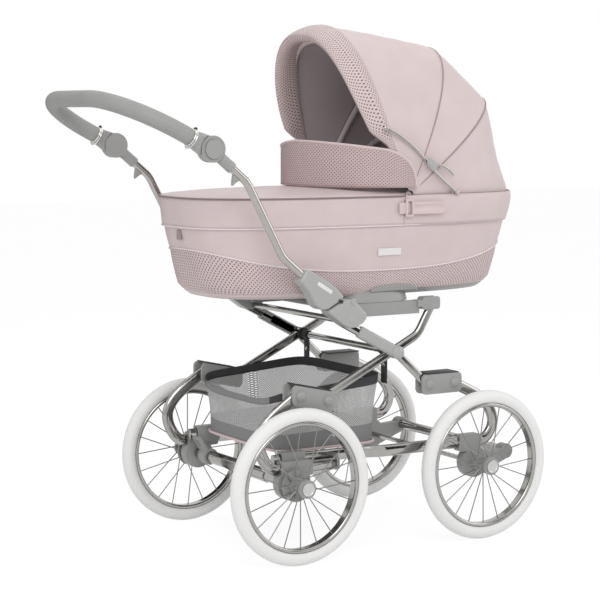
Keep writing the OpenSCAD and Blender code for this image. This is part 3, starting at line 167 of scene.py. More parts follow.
floor = fresh("studio_floor", bpy.ops.mesh.primitive_plane_add, size=FLOOR_SIZE, location=(0, 0, FLOOR_Z))
paper = bpy.data.materials.new("seamless_paper")
tree = bare_tree(paper)
grain = lay(tree, "TexNoise", {"Scale": 40.0, "Detail": 3.0})
matt = lay(tree, "BsdfDiffuse", {"Color": mixed(tree, grain.outputs["Fac"], "#f3f3f3", "#fafafa")})
glow = lay(tree, "Emission", {"Color": "#ffffff", "Strength": FLOOR_GLOW})
share = reckoned(tree, "MULTIPLY", seen_ray(tree), FLOOR_SHOWN)
both = lay(tree, "MixShader", {0: share, 1: matt.outputs[0], 2: glow.outputs[0]})
lay(tree, "OutputMaterial", {"Surface": both.outputs[0]})
floor.data.materials.append(paper)

# Name, place, width in metres and power in watts
LAMPS = [
    ("key_lamp", (-1300, -2700, 2500), 2.4, 44),
    ("top_lamp", (300, 300, 3200), 3.0, 18),
    ("fill_lamp", (2600, -1400, 1500), 2.0, 14),
    ("left_lamp", (-3000, -500, 1250), 1.8, 8),
]
LAMP_AIM = (0, 0, 600)
for lamp_name, place, width, watts in LAMPS:
    lamp = bpy.data.lights.new(lamp_name, "AREA")
    lamp.shape = "DISK"
    lamp.size = width
    lamp.energy = watts
    holder = bpy.data.objects.new(lamp_name, lamp)
    scene.collection.objects.link(holder)
    holder.location = at(*place)
    holder.rotation_euler = (at(*LAMP_AIM) - holder.location).to_track_quat("-Z", "Y").to_euler()

# Name, place, width and height in metres and turn in degrees
CARDS = [
    ("card_left", (-2600, -700, 700), (0.7, 2.4), 75),
    ("card_right", (1500, -2500, 800), (0.8, 2.4), -25),
    ("card_back", (-300, 2600, 900), (1.8, 1.8), 0),
    ("card_front", (-1900, -2400, 300), (1.0, 0.8), 40),
]
card_black = bpy.data.materials.new("black_card")
tree = bare_tree(card_black)
dim = lay(tree, "Emission", {"Color": "#2e2b29", "Strength": 1.0})
lay(tree, "OutputMaterial", {"Surface": dim.outputs[0]})
for card_name, place, (wide, tall), turn in CARDS:
    card = fresh(card_name, bpy.ops.mesh.primitive_plane_add, size=1, location=at(*place),
                 rotation=(radians(90), 0, radians(turn)))
    card.scale = (wide, tall, 1)
    card.data.materials.append(card_black)
    card.visible_camera = card.visible_diffuse = card.visible_shadow = card.visible_transmission = False

# Wheels: soft-round white rubber tyres on narrow bright rims laced with thin steel spokes.
# A grey moulded hub carries each wheel, closed by a bare pressed disc.
SIDES = (("left", 1), ("right", -1))
WHEELS = [(end, side, way) for end in ("rear", "front") for side, way in SIDES]
METAL = {"Metallic": 1.0}


def finish_of(name, sockets=None):
    made = bpy.data.materials.new(name)
    tree = bare_tree(made)
    shader = lay(tree, "BsdfPrincipled", sockets)
    lay(tree, "OutputMaterial", {"Surface": shader.outputs[0]})
    return made, tree, shader


def joined_up(tree, shader, **sources):
    for key, source in sources.items():
        tree.links.new(source, shader.inputs[key.replace("_", " ")])


def worn(name, dark, light, size_mm, bump_mm, rough, sockets=None):
    """A finish that drifts between two tones and two roughnesses, with a grain of that size and height."""
    made, tree, shader = finish_of(name, sockets)
    place = lay(tree, "TexCoord").outputs["Object"]
    patch = lay(tree, "TexNoise", {"Vector": place, "Scale": 1 / (size_mm * MM), "Detail": 3.0})
    spread = patch.outputs["Fac"]
    sheen = lay(tree, "MapRange", {"Value": spread, "To Min": rough[0], "To Max": rough[1]})
    joined_up(tree, shader, Base_Color=mixed(tree, spread, dark, light), Roughness=sheen.outputs[0])
    if bump_mm:
        ridge = lay(tree, "Bump", {"Height": spread, "Distance": bump_mm * MM, "Strength": 1.0})
        joined_up(tree, shader, Normal=ridge.outputs[0])
    return made


def paint(material, *names):
    for name in names:
        nodes[name].data.materials.clear()
        nodes[name].data.materials.append(material)


# White tyre rubber, moulded: matt, with a fine grain from the mould
white_rubber = worn("white_tyre_rubber", "#e7e6e3", "#efeeec", 3.0, 0.06, (0.5, 0.6))
# Polished chrome on the rims: a bright mirror with a warm cast
rim_chrome = worn("polished_rim_chrome", "#9a9895", "#b4b2af", 9.0, 0.02, (0.1, 0.18), METAL)
# Drawn steel of the spokes, darker than the rims that they are laced into
spoke_steel = worn("drawn_spoke_steel", "#838281", "#969594", 6.0, 0.0, (0.25, 0.35), METAL)
# Moulded grey ABS: satin, with a fine spark grain
grey_plastic = worn("satin_grey_abs", "#949491", "#a0a09d", 0.9, 0.05, (0.36, 0.46))
RIM_DEPTH = 11.5
for end, side, way in WHEELS:
    paint(white_rubber, "tyre_%s_%s" % (end, side))
    paint(grey_plastic, "hub_%s_%s" % (end, side))
    rim_name = "spoked_rim_%s_%s" % (end, side)
    paint(rim_chrome, rim_name)
    wheel_node = nodes[rim_name]
    wheel_node.data.materials.append(spoke_steel)
    low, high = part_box(rim_name)
    middle = Vector(((low[0] + high[0]) / 2, 0, (low[2] + high[2]) / 2))
    inside = (high[0] - low[0]) / 2 - RIM_DEPTH * MM
    for face in wheel_node.data.polygons:
        place = wheel_node.matrix_world @ face.center - middle
        face.material_index = 1 if hypot(place.x, place.z) < inside else 0


def start_piece(name, add, **settings):
    piece = fresh(name, add, **settings)
    bpy.ops.object.transform_apply(location=True, rotation=True, scale=True)
    return piece


def alone(piece):
    bpy.ops.object.select_all(action="DESELECT")
    piece.select_set(True)
    bpy.context.view_layer.objects.active = piece


def work(piece, kind, **settings):
    alone(piece)
    change = piece.modifiers.new(kind.lower(), kind)
    for key, value in settings.items():
        setattr(change, key, value)
    bpy.ops.object.modifier_apply(modifier=change.name)


def dress(piece, body, slot, *materials):
    for material in materials:
        piece.data.materials.append(material)
    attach(piece, body)


def smooth_under(degrees):
    bpy.ops.object.shade_smooth_by_angle(angle=radians(degrees))


def rounded(piece, width_mm, steps=3, from_degrees=38):
    work(piece, "BEVEL", width=width_mm * MM, segments=steps, limit_method="ANGLE",
         angle_limit=radians(from_degrees))
    smooth_under(35)


def edit(*steps):
    """Steps of mesh editing on the whole of the active piece."""
    bpy.ops.object.mode_set(mode="EDIT")
    for step, settings in steps:
        bpy.ops.mesh.select_all(action="SELECT")
        step(**settings)
    bpy.ops.object.mode_set(mode="OBJECT")


def press(piece, wanted, insets, bridge=False):
    """Steps pressed into the wanted faces, each with its width and height; a bridge opens them through."""
    bpy.ops.object.mode_set(mode="EDIT")
    bpy.ops.mesh.select_mode(type="FACE")
    bpy.ops.mesh.select_all(action="DESELECT")
    bpy.ops.object.mode_set(mode="OBJECT")
    for face in piece.data.polygons:
        face.select = wanted(face)
    bpy.ops.object.mode_set(mode="EDIT")
    for width, rise in insets:
        bpy.ops.mesh.inset(thickness=width * MM, depth=rise * MM)
    if bridge:
        bpy.ops.mesh.bridge_edge_loops()
    bpy.ops.object.mode_set(mode="OBJECT")


# Spun aluminium of the bare hub discs: a satin silver
satin_silver = worn("satin_spun_aluminium", "#bdbdbb", "#d2d2d0", 5.0, 0.02, (0.24, 0.34), METAL)
ON_SIDE = (radians(90), 0, 0)
HUB_DISC_R, HUB_DISC_T, HUB_DISC_OUT = 15.5, 3.0, 0.4
HUB_DISC_STEPS = ((2.6, 0), (0.8, -0.9), (6.0, 0.5))
for end, side, way in WHEELS:
    low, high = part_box("hub_%s_%s" % (end, side))
    face_y = high[1] if way > 0 else low[1]
    disc = start_piece("hub_disc_%s_%s" % (end, side), bpy.ops.mesh.primitive_cylinder_add, vertices=48,
                       radius=HUB_DISC_R * MM, depth=HUB_DISC_T * MM, rotation=ON_SIDE,
                       location=((low[0] + high[0]) / 2, face_y + way * HUB_DISC_OUT * MM, (low[2] + high[2]) / 2))
    press(disc, lambda face: face.normal.y * way > 0.9, HUB_DISC_STEPS)
    rounded(disc, 0.5, 2)
    dress(disc, "wheel_%s_%s" % (end, side), "dark_chrome", satin_silver)

# Frame tubes: oval steel tube, bent and plated in a warm chrome, with the axles and cross tubes that join
# the two sides. The plating's colour is set dark, a painted reflection standing for dark surroundings mirrored in it.
chrome_painted_dark = worn("smoked_chrome_plate", "#9b9996", "#b0aeab", 14.0, 0.02, (0.06, 0.12), METAL)
paint(chrome_painted_dark, "rear_axle", "front_axle", "rear_cross_tube", "front_cross_tube", "rear_legs", "front_legs",
      "scissor_axle", "carrier_rest_tube")


# Spring tubes: each is one oval tube, bent to an open C in a former. The front pair runs on as rails,
# which step inwards to pass the rear axle blocks.
def grid_piece(name, count, place, size, flip=False, thick=0.0, side=0.0):
    """A flat grid, each point carried to its place, thickened to that side; its map is in metres."""
    piece = fresh(name, bpy.ops.mesh.primitive_grid_add, x_subdivisions=count[0], y_subdivisions=count[1], size=1)
    for corner in piece.data.uv_layers[0].data:
        corner.uv = (corner.uv[0] * size[0], corner.uv[1] * size[1])
    for point in piece.data.vertices:
        point.co = place(min(max(point.co.x + 0.5, 0), 1), min(max(point.co.y + 0.5, 0), 1))
    edit((bpy.ops.mesh.remove_doubles, {"threshold": 0.00002}))
    if flip:
        edit((bpy.ops.mesh.flip_normals, {}))
    bpy.ops.object.shade_smooth()
    if thick:
        work(piece, "SOLIDIFY", thickness=thick * MM, offset=side)
    return piece


def lengths_along(line):
    return np.concatenate([[0], np.cumsum(np.linalg.norm(np.diff(line, axis=0), axis=1))])


def along(points, count):
    """Points spaced evenly along a line of points, and the line's length."""
    line = np.array([tuple(p) for p in points])
    steps = lengths_along(line)
    where = np.linspace(0, steps[-1], count)
    return np.stack([np.interp(where, steps, line[:, k]) for k in range(3)], axis=1), steps[-1]


def heads_along(line):
    heads = np.gradient(line, axis=0)
    return heads / np.linalg.norm(heads, axis=1)[:, None]


def power(value, exponent):
    return copysign(abs(value) ** exponent, value)


def eased(points, rounds=4):
    """A line with its corners cut again and again, until it is one smooth bend."""
    for _ in range(rounds):
        cut = [points[0]]
        for a, b in zip(points, points[1:]):
            cut += [0.75 * a + 0.25 * b, 0.25 * a + 0.75 * b]
        points = cut + [points[-1]]
    return points


SPRING_HALF_H, SPRING_HALF_T, SPRING_SQUARE = 14.0, 8.0, 0.8
SPRING_STEPS, SPRING_SIDES, SPRING_GIRTH = 140, 32, 0.075
SPRING_Y, GUIDE_Y = 220.5, 198.5
REAR_TAIL_Z, FRONT_RAIL_Z = 212.0, 228.0
REAR_SPRING = [(-235.5, 376.0), (-318.7, 320.2), (-342.1, 271.0)]
REAR_SPRING += [(x, REAR_TAIL_Z) for x in (-310.9, -274.0, -240.0, -134.5)]
FRONT_SPRING = [(190.5, 376.0), (294.5, 325.7), (321.8, 268.0)]
FRONT_SPRING += [(x, FRONT_RAIL_Z) for x in (294.5, 257.0, 220.0, 12.0, -11.0, -69.0, -92.0, -293.5)]
RAIL_STEP_X = -40.0
for end, corners in (("rear", REAR_SPRING), ("front", FRONT_SPRING)):
    for side, way in SIDES:
        path = [np.array((x, way * (GUIDE_Y if end == "front" and x < RAIL_STEP_X else SPRING_Y), z))
                for x, z in corners]
        line, length = along(eased(path), SPRING_STEPS + 1)
        heads = heads_along(line)

        def spring_skin(u, v):
            k = min(int(round(u * SPRING_STEPS)), SPRING_STEPS)
            head = Vector(heads[k])
            flat_way = Vector((0, 1, 0))
            flat_way = (flat_way - head * flat_way.dot(head)).normalized()
            tall_way = head.cross(flat_way)
            fill = 0.0 if k in (0, SPRING_STEPS) else 1.0
            across = fill * SPRING_HALF_T * power(cos(2 * pi * v), SPRING_SQUARE)
            tall = fill * SPRING_HALF_H * power(sin(2 * pi * v), SPRING_SQUARE)
            return at(*(Vector(line[k]) + flat_way * across + tall_way * tall))

        tube_name = "%s_spring_tube_%s" % (end, side)
        tube = grid_piece("%s_spring_sweep_%s" % (end, side), (SPRING_STEPS, SPRING_SIDES), spring_skin,
                          (length * MM, SPRING_GIRTH))
        smooth_under(40)
        dress(tube, nodes[tube_name]["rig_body"], "dark_chrome", chrome_painted_dark)
        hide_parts(tube_name)


# Moulded fittings: axle blocks, knuckles, brake pedal, the carrier and the bassinet's base, in grey plastic
# with the small radii that a mould leaves on every edge. The end caps are painted grey plastic, unrounded.
def moulded(name, width_mm):
    piece = bpy.data.objects.new(name + "_moulding", nodes[name].data.copy())
    scene.collection.objects.link(piece)
    alone(piece)
    piece.data.materials.clear()
    bpy.ops.mesh.customdata_custom_splitnormals_clear()
    edit((bpy.ops.mesh.remove_doubles, {"threshold": 0.00001}),
         (bpy.ops.mesh.dissolve_limited, {"angle_limit": radians(0.4)}))
    rounded(piece, width_mm)
    dress(piece, nodes[name]["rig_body"], "grey_plastic", grey_plastic)
    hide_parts(name)


paint(grey_plastic, "tail_end_caps", "tilt_button_left", "tilt_button_right", "grip_bow", "handle_sleeves")
MOULDED_FITTINGS = {"rear_axle_blocks": 2.0, "front_axle_blocks": 2.0, "brake_pedal": 1.5, "rear_knuckles": 2.5,
                    "front_knuckles": 2.5, "carrier_frame": 4.0, "bassinet_base": 2.5}
for name, radius in MOULDED_FITTINGS.items():
    moulded(name, radius)

# Knuckle trim: each knuckle of the scissor legs has two domed bolt covers outside and a black rubber
# strip along its top.
black_rubber = worn("black_moulded_rubber", "#1f1f20", "#2b2b2c", 1.2, 0.05, (0.5, 0.6))
KNUCKLES = [("rear", "rear_scissor", (-235.5, 376.0), (-163.5, 360.0)),
            ("front", "front_scissor", (118.5, 376.0), (190.5, 376.0))]
KNUCKLE_IN, KNUCKLE_OUT, KNUCKLE_HALF_H = 190.1, 234.9, 24.0
BOLT_COVER_R, BOLT_COVER_RISE, BOLT_COVER_Y = 11.0, 5.5, KNUCKLE_OUT + 1.8
STRIP_SIZE, STRIP_LIFT = (94, 46, 3), 0.3


def dome(name, x, y, z, way, radius, rise):
    piece = start_piece(name, bpy.ops.mesh.primitive_uv_sphere_add, segments=32, ring_count=16, radius=radius * MM,
                        location=at(x, way * y, z), scale=(1, rise / radius, 1))
    edit((bpy.ops.mesh.bisect, {"plane_co": at(x, way * y, z), "plane_no": (0, way, 0), "use_fill": True,
                                "clear_inner": True}))
    smooth_under(50)
    return piece


def block(name, place, size, turn=0.0):
    """A box of that size in millimetres, turned in the side plane."""
    return start_piece(name, bpy.ops.mesh.primitive_cube_add, size=1, location=at(*place), rotation=(0, turn, 0),
                       scale=tuple(v * MM for v in size))


for end, body, first, second in KNUCKLES:
    slope = atan2(first[1] - second[1], second[0] - first[0])
    for side, way in SIDES:
        for k, (x, z) in enumerate((first, second)):
            cover = dome("%s_bolt_cover_%s_%d" % (end, side, k + 1), x, BOLT_COVER_Y, z, way, BOLT_COVER_R,
                         BOLT_COVER_RISE)
            dress(cover, body, "grey_plastic", grey_plastic)
        strip = block("%s_knuckle_strip_%s" % (end, side),
                      ((first[0] + second[0]) / 2, way * (KNUCKLE_IN + KNUCKLE_OUT) / 2,
                       (first[1] + second[1]) / 2 + KNUCKLE_HALF_H + STRIP_LIFT), STRIP_SIZE, slope)
        rounded(strip, 1.2)
        dress(strip, body, "grey_plastic", black_rubber)

# Scissor crossing: a light plastic cover slides over each front leg from the hinge to the crossing,
# with a round cap on the axle outside and a black knob inside.
hinge_plastic = worn("light_satin_abs", "#a2a3a0", "#b0b1ae", 1.2, 0.04, (0.3, 0.4))
SCISSOR = (32.0, 456.0)
COVER_TOP = (-74.6, 512.2)
COVER_Y, COVER_W, COVER_H = 222.3, 17.6, 28.0
CROSSING_CAP_R, CROSSING_CAP_RISE = 16.0, 7.0
KNOB_R, KNOB_T, KNOB_Y, KNOB_STEP = 16, 9, 190.6, (4.0, 1.5)
run = (SCISSOR[0] - COVER_TOP[0], SCISSOR[1] - COVER_TOP[1])
cover_mid = ((SCISSOR[0] + COVER_TOP[0]) / 2, (SCISSOR[1] + COVER_TOP[1]) / 2)
for side, way in SIDES:
    cover = block("leg_cover_" + side, (cover_mid[0], way * COVER_Y, cover_mid[1]),
                  (hypot(*run), COVER_W, COVER_H), -atan2(run[1], run[0]))
    rounded(cover, 6.0, 4)
    dress(cover, "front_scissor", "grey_plastic", hinge_plastic)
    cap = dome("crossing_cap_" + side, SCISSOR[0], COVER_Y + COVER_W / 2 - 1, SCISSOR[1], way, CROSSING_CAP_R,
               CROSSING_CAP_RISE)
    dress(cap, "front_scissor", "grey_plastic", hinge_plastic)
    knob = start_piece("crossing_knob_" + side, bpy.ops.mesh.primitive_cylinder_add, vertices=40, radius=KNOB_R * MM,
                       depth=KNOB_T * MM, location=at(SCISSOR[0], way * KNOB_Y, SCISSOR[1]), rotation=ON_SIDE)
    press(knob, lambda face: face.normal.y * way < -0.9, [KNOB_STEP])
    rounded(knob, 1.5)
    dress(knob, "rear_scissor", "grey_plastic", black_rubber)


# Handle hinges: light satin housings at each side, where the handle meets the frame. Each has a bare
# pale plate, a small black block for the notch at its seam, whose black is painted shade of the notch's
# hollow, and two shallow discs over the bolts. A tongue on the upper half runs in a slot of the lower one,
# round the pin.
def shell(name, outline, way, reach, width_mm):
    """A moulded shell: an outline in the side plane, drawn out sideways and rounded all over."""
    low_y, high_y = sorted((way * reach[0], way * reach[1]))
    piece = fresh(name, bpy.ops.mesh.primitive_circle_add, vertices=len(outline), radius=1, fill_type="NGON")
    for point, (x, z) in zip(piece.data.vertices, outline):
        point.co = at(x, low_y, z)
    edit((bpy.ops.mesh.extrude_region_move, {"TRANSFORM_OT_translate": {"value": (0, (high_y - low_y) * MM, 0)}}),
         (bpy.ops.mesh.normals_make_consistent, {"inside": False}))
    rounded(piece, width_mm, 5, from_degrees=10)
    return piece


def cut_away(piece, cutter):
    work(piece, "BOOLEAN", operation="DIFFERENCE", solver="EXACT", object=cutter)
    bpy.data.objects.remove(cutter)
    smooth_under(35)


# Pale baked enamel of the bare plates on the hinges and the body
pale_enamel = worn("pale_baked_enamel", "#e0dbda", "#e7e3e2", 0.8, 0.01, (0.25, 0.32))
UPPER_OUTLINE = ((-244, 636), (-229, 661), (-216, 659), (-157, 623), (-127.5, 596), (-136, 588.4), (-172, 568.6),
                 (-188, 568.5), (-201, 577), (-218, 607))
BASE_OUTLINE = ((-165, 557), (-171, 565.5), (-133, 585.3), (-114, 590), (-99, 585), (-68, 556), (-66, 545), (-76, 533),
                (-97, 523.5), (-116, 523), (-129, 531))
HINGE_Y, HINGE_EDGE_R = (208.8, 249.0), 7.0
HINGE_PIN = (-105.0, 583.0)
PIN_CAP_R, PIN_CAP_RISE, PIN_BORE_R, PIN_BORE_LEN = 8.5, 1.6, 4.6, 60
HINGE_DISCS, DISC_R, DISC_RISE = ((-106.0, 541.0), (-82.0, 552.0)), 9.0, 2.2
HINGE_FACE_Y = HINGE_Y[1] - 0.2
# Stem of the name, place, turn, size, material and slot
HINGE_TRIM = [("hinge_plate_", (-181.7, 618.6), 32.0, (44.0, 2.0, 9.0), pale_enamel, "dark_chrome"),
              # The notch is a black block: its black is painted shade, standing for the dark hollow of the notch.
              ("hinge_notch_shade_", (-139.0, 586.5), 30.0, (12.0, 3.0, 6.0), black_rubber, "grey_plastic")]
HINGE_TONGUE = ((-145, 598), (-128, 590), (-114, 588), (-104, 586), (-98, 582), (-98, 576), (-104, 571.5), (-114, 571),
                (-128, 574), (-148, 584))
HINGE_SLOT = ((-150, 602), (-95, 602), (-95, 574), (-103, 568.5), (-115, 568), (-130, 571.5), (-150, 581))
TONGUE_Y, SLOT_Y = (222.9, 234.9), (222.3, 235.5)
paint(hinge_plastic, "hinge_pins")
for side, way in SIDES:
    upper = shell("hinge_uppers_shell_" + side, UPPER_OUTLINE, way, HINGE_Y, HINGE_EDGE_R)
    dress(upper, "handle", "grey_plastic", hinge_plastic)
    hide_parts("hinge_uppers")
    base = shell("hinge_bases_shell_" + side, BASE_OUTLINE, way, HINGE_Y, HINGE_EDGE_R)
    cut_away(base, shell("slot_form", HINGE_SLOT, way, SLOT_Y, 0.2))
    dress(base, "front_scissor", "grey_plastic", hinge_plastic)
    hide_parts("hinge_bases")
    tongue = shell("hinge_tongue_" + side, HINGE_TONGUE, way, TONGUE_Y, 1.5)
    cut_away(tongue, start_piece("bore_form", bpy.ops.mesh.primitive_cylinder_add, vertices=32, radius=PIN_BORE_R * MM,
                                 depth=PIN_BORE_LEN * MM, rotation=ON_SIDE,
                                 location=at(HINGE_PIN[0], way * sum(TONGUE_Y) / 2, HINGE_PIN[1])))
    dress(tongue, "handle", "grey_plastic", hinge_plastic)
    for stem, (x, z), turn, size, material, slot in HINGE_TRIM:
        trim = block(stem + side, (x, way * HINGE_Y[1], z), size, radians(turn))
        rounded(trim, 0.7, 2)
        dress(trim, "handle", slot, material)
    for k, (x, z) in enumerate(HINGE_DISCS):
        cover = dome("hinge_disc_%s_%d" % (side, k + 1), x, HINGE_FACE_Y, z, way, DISC_R, DISC_RISE)
        dress(cover, "front_scissor", "grey_plastic", hinge_plastic)
    cap = dome("hinge_pin_cap_" + side, HINGE_PIN[0], HINGE_FACE_Y, HINGE_PIN[1], way, PIN_CAP_R, PIN_CAP_RISE)
    dress(cap, "front_scissor", "grey_plastic", hinge_plastic)

# Handle tubes: round steel tube in a lighter champagne chrome, bent back to the push bar. The hood's
# bows and stays have the same plating.
champagne = worn("champagne_chrome", "#a29e9a", "#b8b4b0", 12.0, 0.02, (0.08, 0.15), METAL)
paint(champagne, "handle_tube_left", "handle_tube_right", "hood_bow_mid", "hood_bow_rear")


# Grip: a foam roll over the handle bow, wrapped in matt grey leatherette that is closed by one
# stitched seam underneath. It turns with the bow.
LEATHER_PATCH = 60


def leather(name, dark, light, grain_mm=1.3, grain_deep=0.12, rough=(0.42, 0.55)):
    made, tree, shader = finish_of(name)
    place = lay(tree, "TexCoord").outputs["Object"]
    pebble = lay(tree, "TexVoronoi", {"Vector": place, "Scale": 1 / (grain_mm * MM)}).outputs["Distance"]
    patch = lay(tree, "TexNoise", {"Vector": place, "Scale": 1 / (LEATHER_PATCH * MM), "Detail": 4.0})
    gloss = lay(tree, "MapRange", {"Value": pebble, "To Min": rough[0], "To Max": rough[1]})
    ridge = lay(tree, "Bump", {"Height": pebble, "Distance": grain_deep * MM, "Strength": 0.5}, invert=True)
    joined_up(tree, shader, Base_Color=mixed(tree, patch.outputs["Fac"], dark, light), Roughness=gloss.outputs[0],
              Normal=ridge.outputs[0])
    return made


TILT_JOINT = (-464.0, 930.0)
GRIP_RISE = radians(27.0)
GRIP_LEN, GRIP_BEND, GRIP_R = 235.0, 160.0, 19.0
GRIP_STEPS, BEND_STEPS = 120, 18
SEAM_AT, SEAM_W, SEAM_H, WRAP_IN, WRAP_END_IN = 0.75, 0.02, 0.9, 0.6, 1.6
HANDLE_Y = 236.0
COVER_START = 56.0


def grip_point(s, y, rise):
    return at(TILT_JOINT[0] - s * cos(GRIP_RISE) + rise * sin(GRIP_RISE), y,
              TILT_JOINT[1] + s * sin(GRIP_RISE) + rise * cos(GRIP_RISE))


grip_line = [(COVER_START, -HANDLE_Y, 0.0)]
for k in range(BEND_STEPS + 1):
    turn = radians(90) * k / BEND_STEPS
    grip_line.append((GRIP_LEN - GRIP_BEND * (1 - sin(turn)), -HANDLE_Y + GRIP_BEND * (1 - cos(turn)), 0.0))
grip_line += [(s, -y, 0.0) for s, y, _ in reversed(grip_line)]
grip_way, grip_length = along(grip_line, GRIP_STEPS + 1)
grip_heads = heads_along(grip_way)


def grip_skin(u, v):
    k = min(int(round(u * GRIP_STEPS)), GRIP_STEPS)
    s, y, _ = grip_way[k]
    hs, hy, _ = grip_heads[k]
    turn = 2 * pi * v
    seam = exp(-((v - SEAM_AT) / SEAM_W) ** 2)
    r = GRIP_R - WRAP_IN + SEAM_H * seam - (WRAP_END_IN if k in (0, GRIP_STEPS) else 0)
    out = r * cos(turn)
    return grip_point(s + out * hy, y - out * hs, r * sin(turn))


grip_leather = leather("matt_grey_leatherette", "#8f8f8c", "#a0a09c", 1.1, 0.1, (0.5, 0.62))
grip_wrap = grid_piece("grip_wrap", (GRIP_STEPS, 32), grip_skin, (grip_length * MM, 2 * pi * GRIP_R * MM))
dress(grip_wrap, "grip", "grey_leather", grip_leather)
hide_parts("grip_cover")

# Grip ends: a polished ring with a black stud closes each end of the wrap, with the bag ring turned up
# against it. A moulded shank, one piece with the bow, widens from it into the round tilt knuckle.
ring_chrome = worn("bright_ring_chrome", "#c4c2bf", "#d6d4d1", 10.0, 0.02, (0.06, 0.12), METAL)
RING_S, RING_W, RING_R = 52.0, 9.0, 20.2
RING_TURN = (0, GRIP_RISE - pi / 2, 0)
STUD_R, STUD_RISE = 4.6, 21.0
LOOP_S, LOOP_R, LOOP_WIRE_R, LOOP_RISE = RING_S - 1.0, 21.6, 1.9, -1.6
KNUCKLE_R = 30.2
SHANK_RISE, SHANK_HALF_Y, SHANK_END = 24.0, 12.6, 17.8
SHANK_SQUARE = 0.6
CAP_FOOT, CAP_END = 0.15, 0.1
for side, way in SIDES:
    ring = start_piece("grip_ring_" + side, bpy.ops.mesh.primitive_cylinder_add, vertices=64, radius=RING_R * MM,
                       depth=RING_W * MM, location=grip_point(RING_S, way * HANDLE_Y, 0), rotation=RING_TURN)
    rounded(ring, 1.6)
    dress(ring, "grip", "dark_chrome", ring_chrome)
    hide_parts("bag_rings")
    loop = start_piece("bag_ring_loop_" + side, bpy.ops.mesh.primitive_torus_add, major_segments=64, minor_segments=12,
                       major_radius=LOOP_R * MM, minor_radius=LOOP_WIRE_R * MM,
                       location=grip_point(LOOP_S, way * HANDLE_Y, LOOP_RISE), rotation=RING_TURN)
    bpy.ops.object.shade_smooth()
    dress(loop, "grip", "dark_chrome", ring_chrome)
    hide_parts("bag_rings")
    stud = start_piece("grip_stud_" + side, bpy.ops.mesh.primitive_uv_sphere_add, segments=24, ring_count=12,
                       radius=STUD_R * MM, location=grip_point(RING_S, way * HANDLE_Y, STUD_RISE))
    bpy.ops.object.shade_smooth()
    dress(stud, "grip", "grey_plastic", black_rubber)

    def shank(u, v):
        fill = min(1.0, v / CAP_FOOT, (1 - v) / CAP_END)
        run = min(1.0, max(0.0, (v - CAP_FOOT) / (1 - CAP_FOOT - CAP_END)))
        across = fill * power(cos(2 * pi * u), SHANK_SQUARE)
        up = fill * power(sin(2 * pi * u), SHANK_SQUARE)
        foot_rise = SHANK_RISE * up
        foot_s = sqrt(KNUCKLE_R ** 2 - foot_rise ** 2)
        y = HANDLE_Y + across * (SHANK_HALF_Y + run * (SHANK_END - SHANK_HALF_Y))
        return grip_point(foot_s + run * (RING_S - foot_s), way * y, foot_rise + run * (SHANK_END - SHANK_RISE) * up)

    stem = grid_piece("tilt_shank_" + side, (48, 24), shank, (0.12, 0.05), flip=way < 0)
    dress(stem, "grip", "grey_plastic", grey_plastic)

# Fold triggers: a small grey fin under each handle tube, near the tilt knuckle. The fingers pull the
# pair up together to free the fold.
HANDLE_SLOPE = radians(39.3)
# Corners of a fin: millimetres down the tube from the tilt joint, and below the tube's axis
TRIGGER_OUTLINE = ((76, 8), (99, 8), (95.5, 13), (92.5, 20), (91.4, 28.5), (88.8, 28.2), (82.4, 19))
TRIGGER_Y = (HANDLE_Y - 4.0, HANDLE_Y + 4.0)
slant = [(TILT_JOINT[0] + down * cos(HANDLE_SLOPE) - below * sin(HANDLE_SLOPE),
          TILT_JOINT[1] - down * sin(HANDLE_SLOPE) - below * cos(HANDLE_SLOPE))
         for down, below in TRIGGER_OUTLINE]
for side, way in SIDES:
    fin = shell("fold_trigger_fin_" + side, slant, way, TRIGGER_Y, 1.0)
    dress(fin, nodes["fold_triggers"]["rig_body"], "grey_plastic", grey_plastic)
    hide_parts("fold_triggers")

# Bassinet body: a stiff tray covered in pale pink leatherette. A curved line of shiny piping parts
# the smooth upper panel from a perforated lower one; the inside is lined with soft cloth.
SHELL_Z, RIM_Z = 599.6, 811.4
# Shares of the tray's height, and how far its section has widened there from foot to rim
SHELL_SHARES = ((0, 0.06, 0.3, 0.62, 0.97, 1), (0, 0.22, 0.46, 0.74, 1, 1))
BODY_AHEAD, BODY_HALF_L, BODY_HALF_W = (7.5, 15.0), (382.5, 445.0), (190.0, 205.0)
BODY_CORNER = 2 / 3
ROUND_STEPS = 192


def body_section(z):
    w = float(np.interp((z - SHELL_Z) / (RIM_Z - SHELL_Z), *SHELL_SHARES))
    return [low + w * (high - low) for low, high in (BODY_AHEAD, BODY_HALF_L, BODY_HALF_W)]


def body_point(t, z, grow):
    middle, a, b = body_section(z)
    return (middle + (a + grow) * power(cos(t), BODY_CORNER), (b + grow) * power(sin(t), BODY_CORNER), z)


fine_turns = np.linspace(0, 2 * pi, 2881)
fine_steps = lengths_along(np.array([body_point(t, RIM_Z, 0) for t in fine_turns]))
RIM_LENGTH = fine_steps[-1]


def turn_at(u):
    return float(np.interp(u * RIM_LENGTH, fine_steps, fine_turns))


PIPING_LOW, PIPING_LIFT, PIPING_MID_X, PIPING_REACH, PIPING_CURVE = 647, 54, 5, 412, 2.6
PIPING_LEVEL, PIPING_OUT, PIPING_R = 660, 1.6, 2.2
UPPER_LIE, UPPER_PUFF, UPPER_RISE = 0.6, 1.8, 1.3
LOWER_LIE, LOWER_PUFF = 0.4, 1.2
PUCKER, PUCKER_LONG, PUCKER_TALL = 0.5, 55, 30


def piping_z(t):
    x = body_point(t, PIPING_LEVEL, 0)[0]
    return PIPING_LOW + PIPING_LIFT * abs((x - PIPING_MID_X) / PIPING_REACH) ** PIPING_CURVE


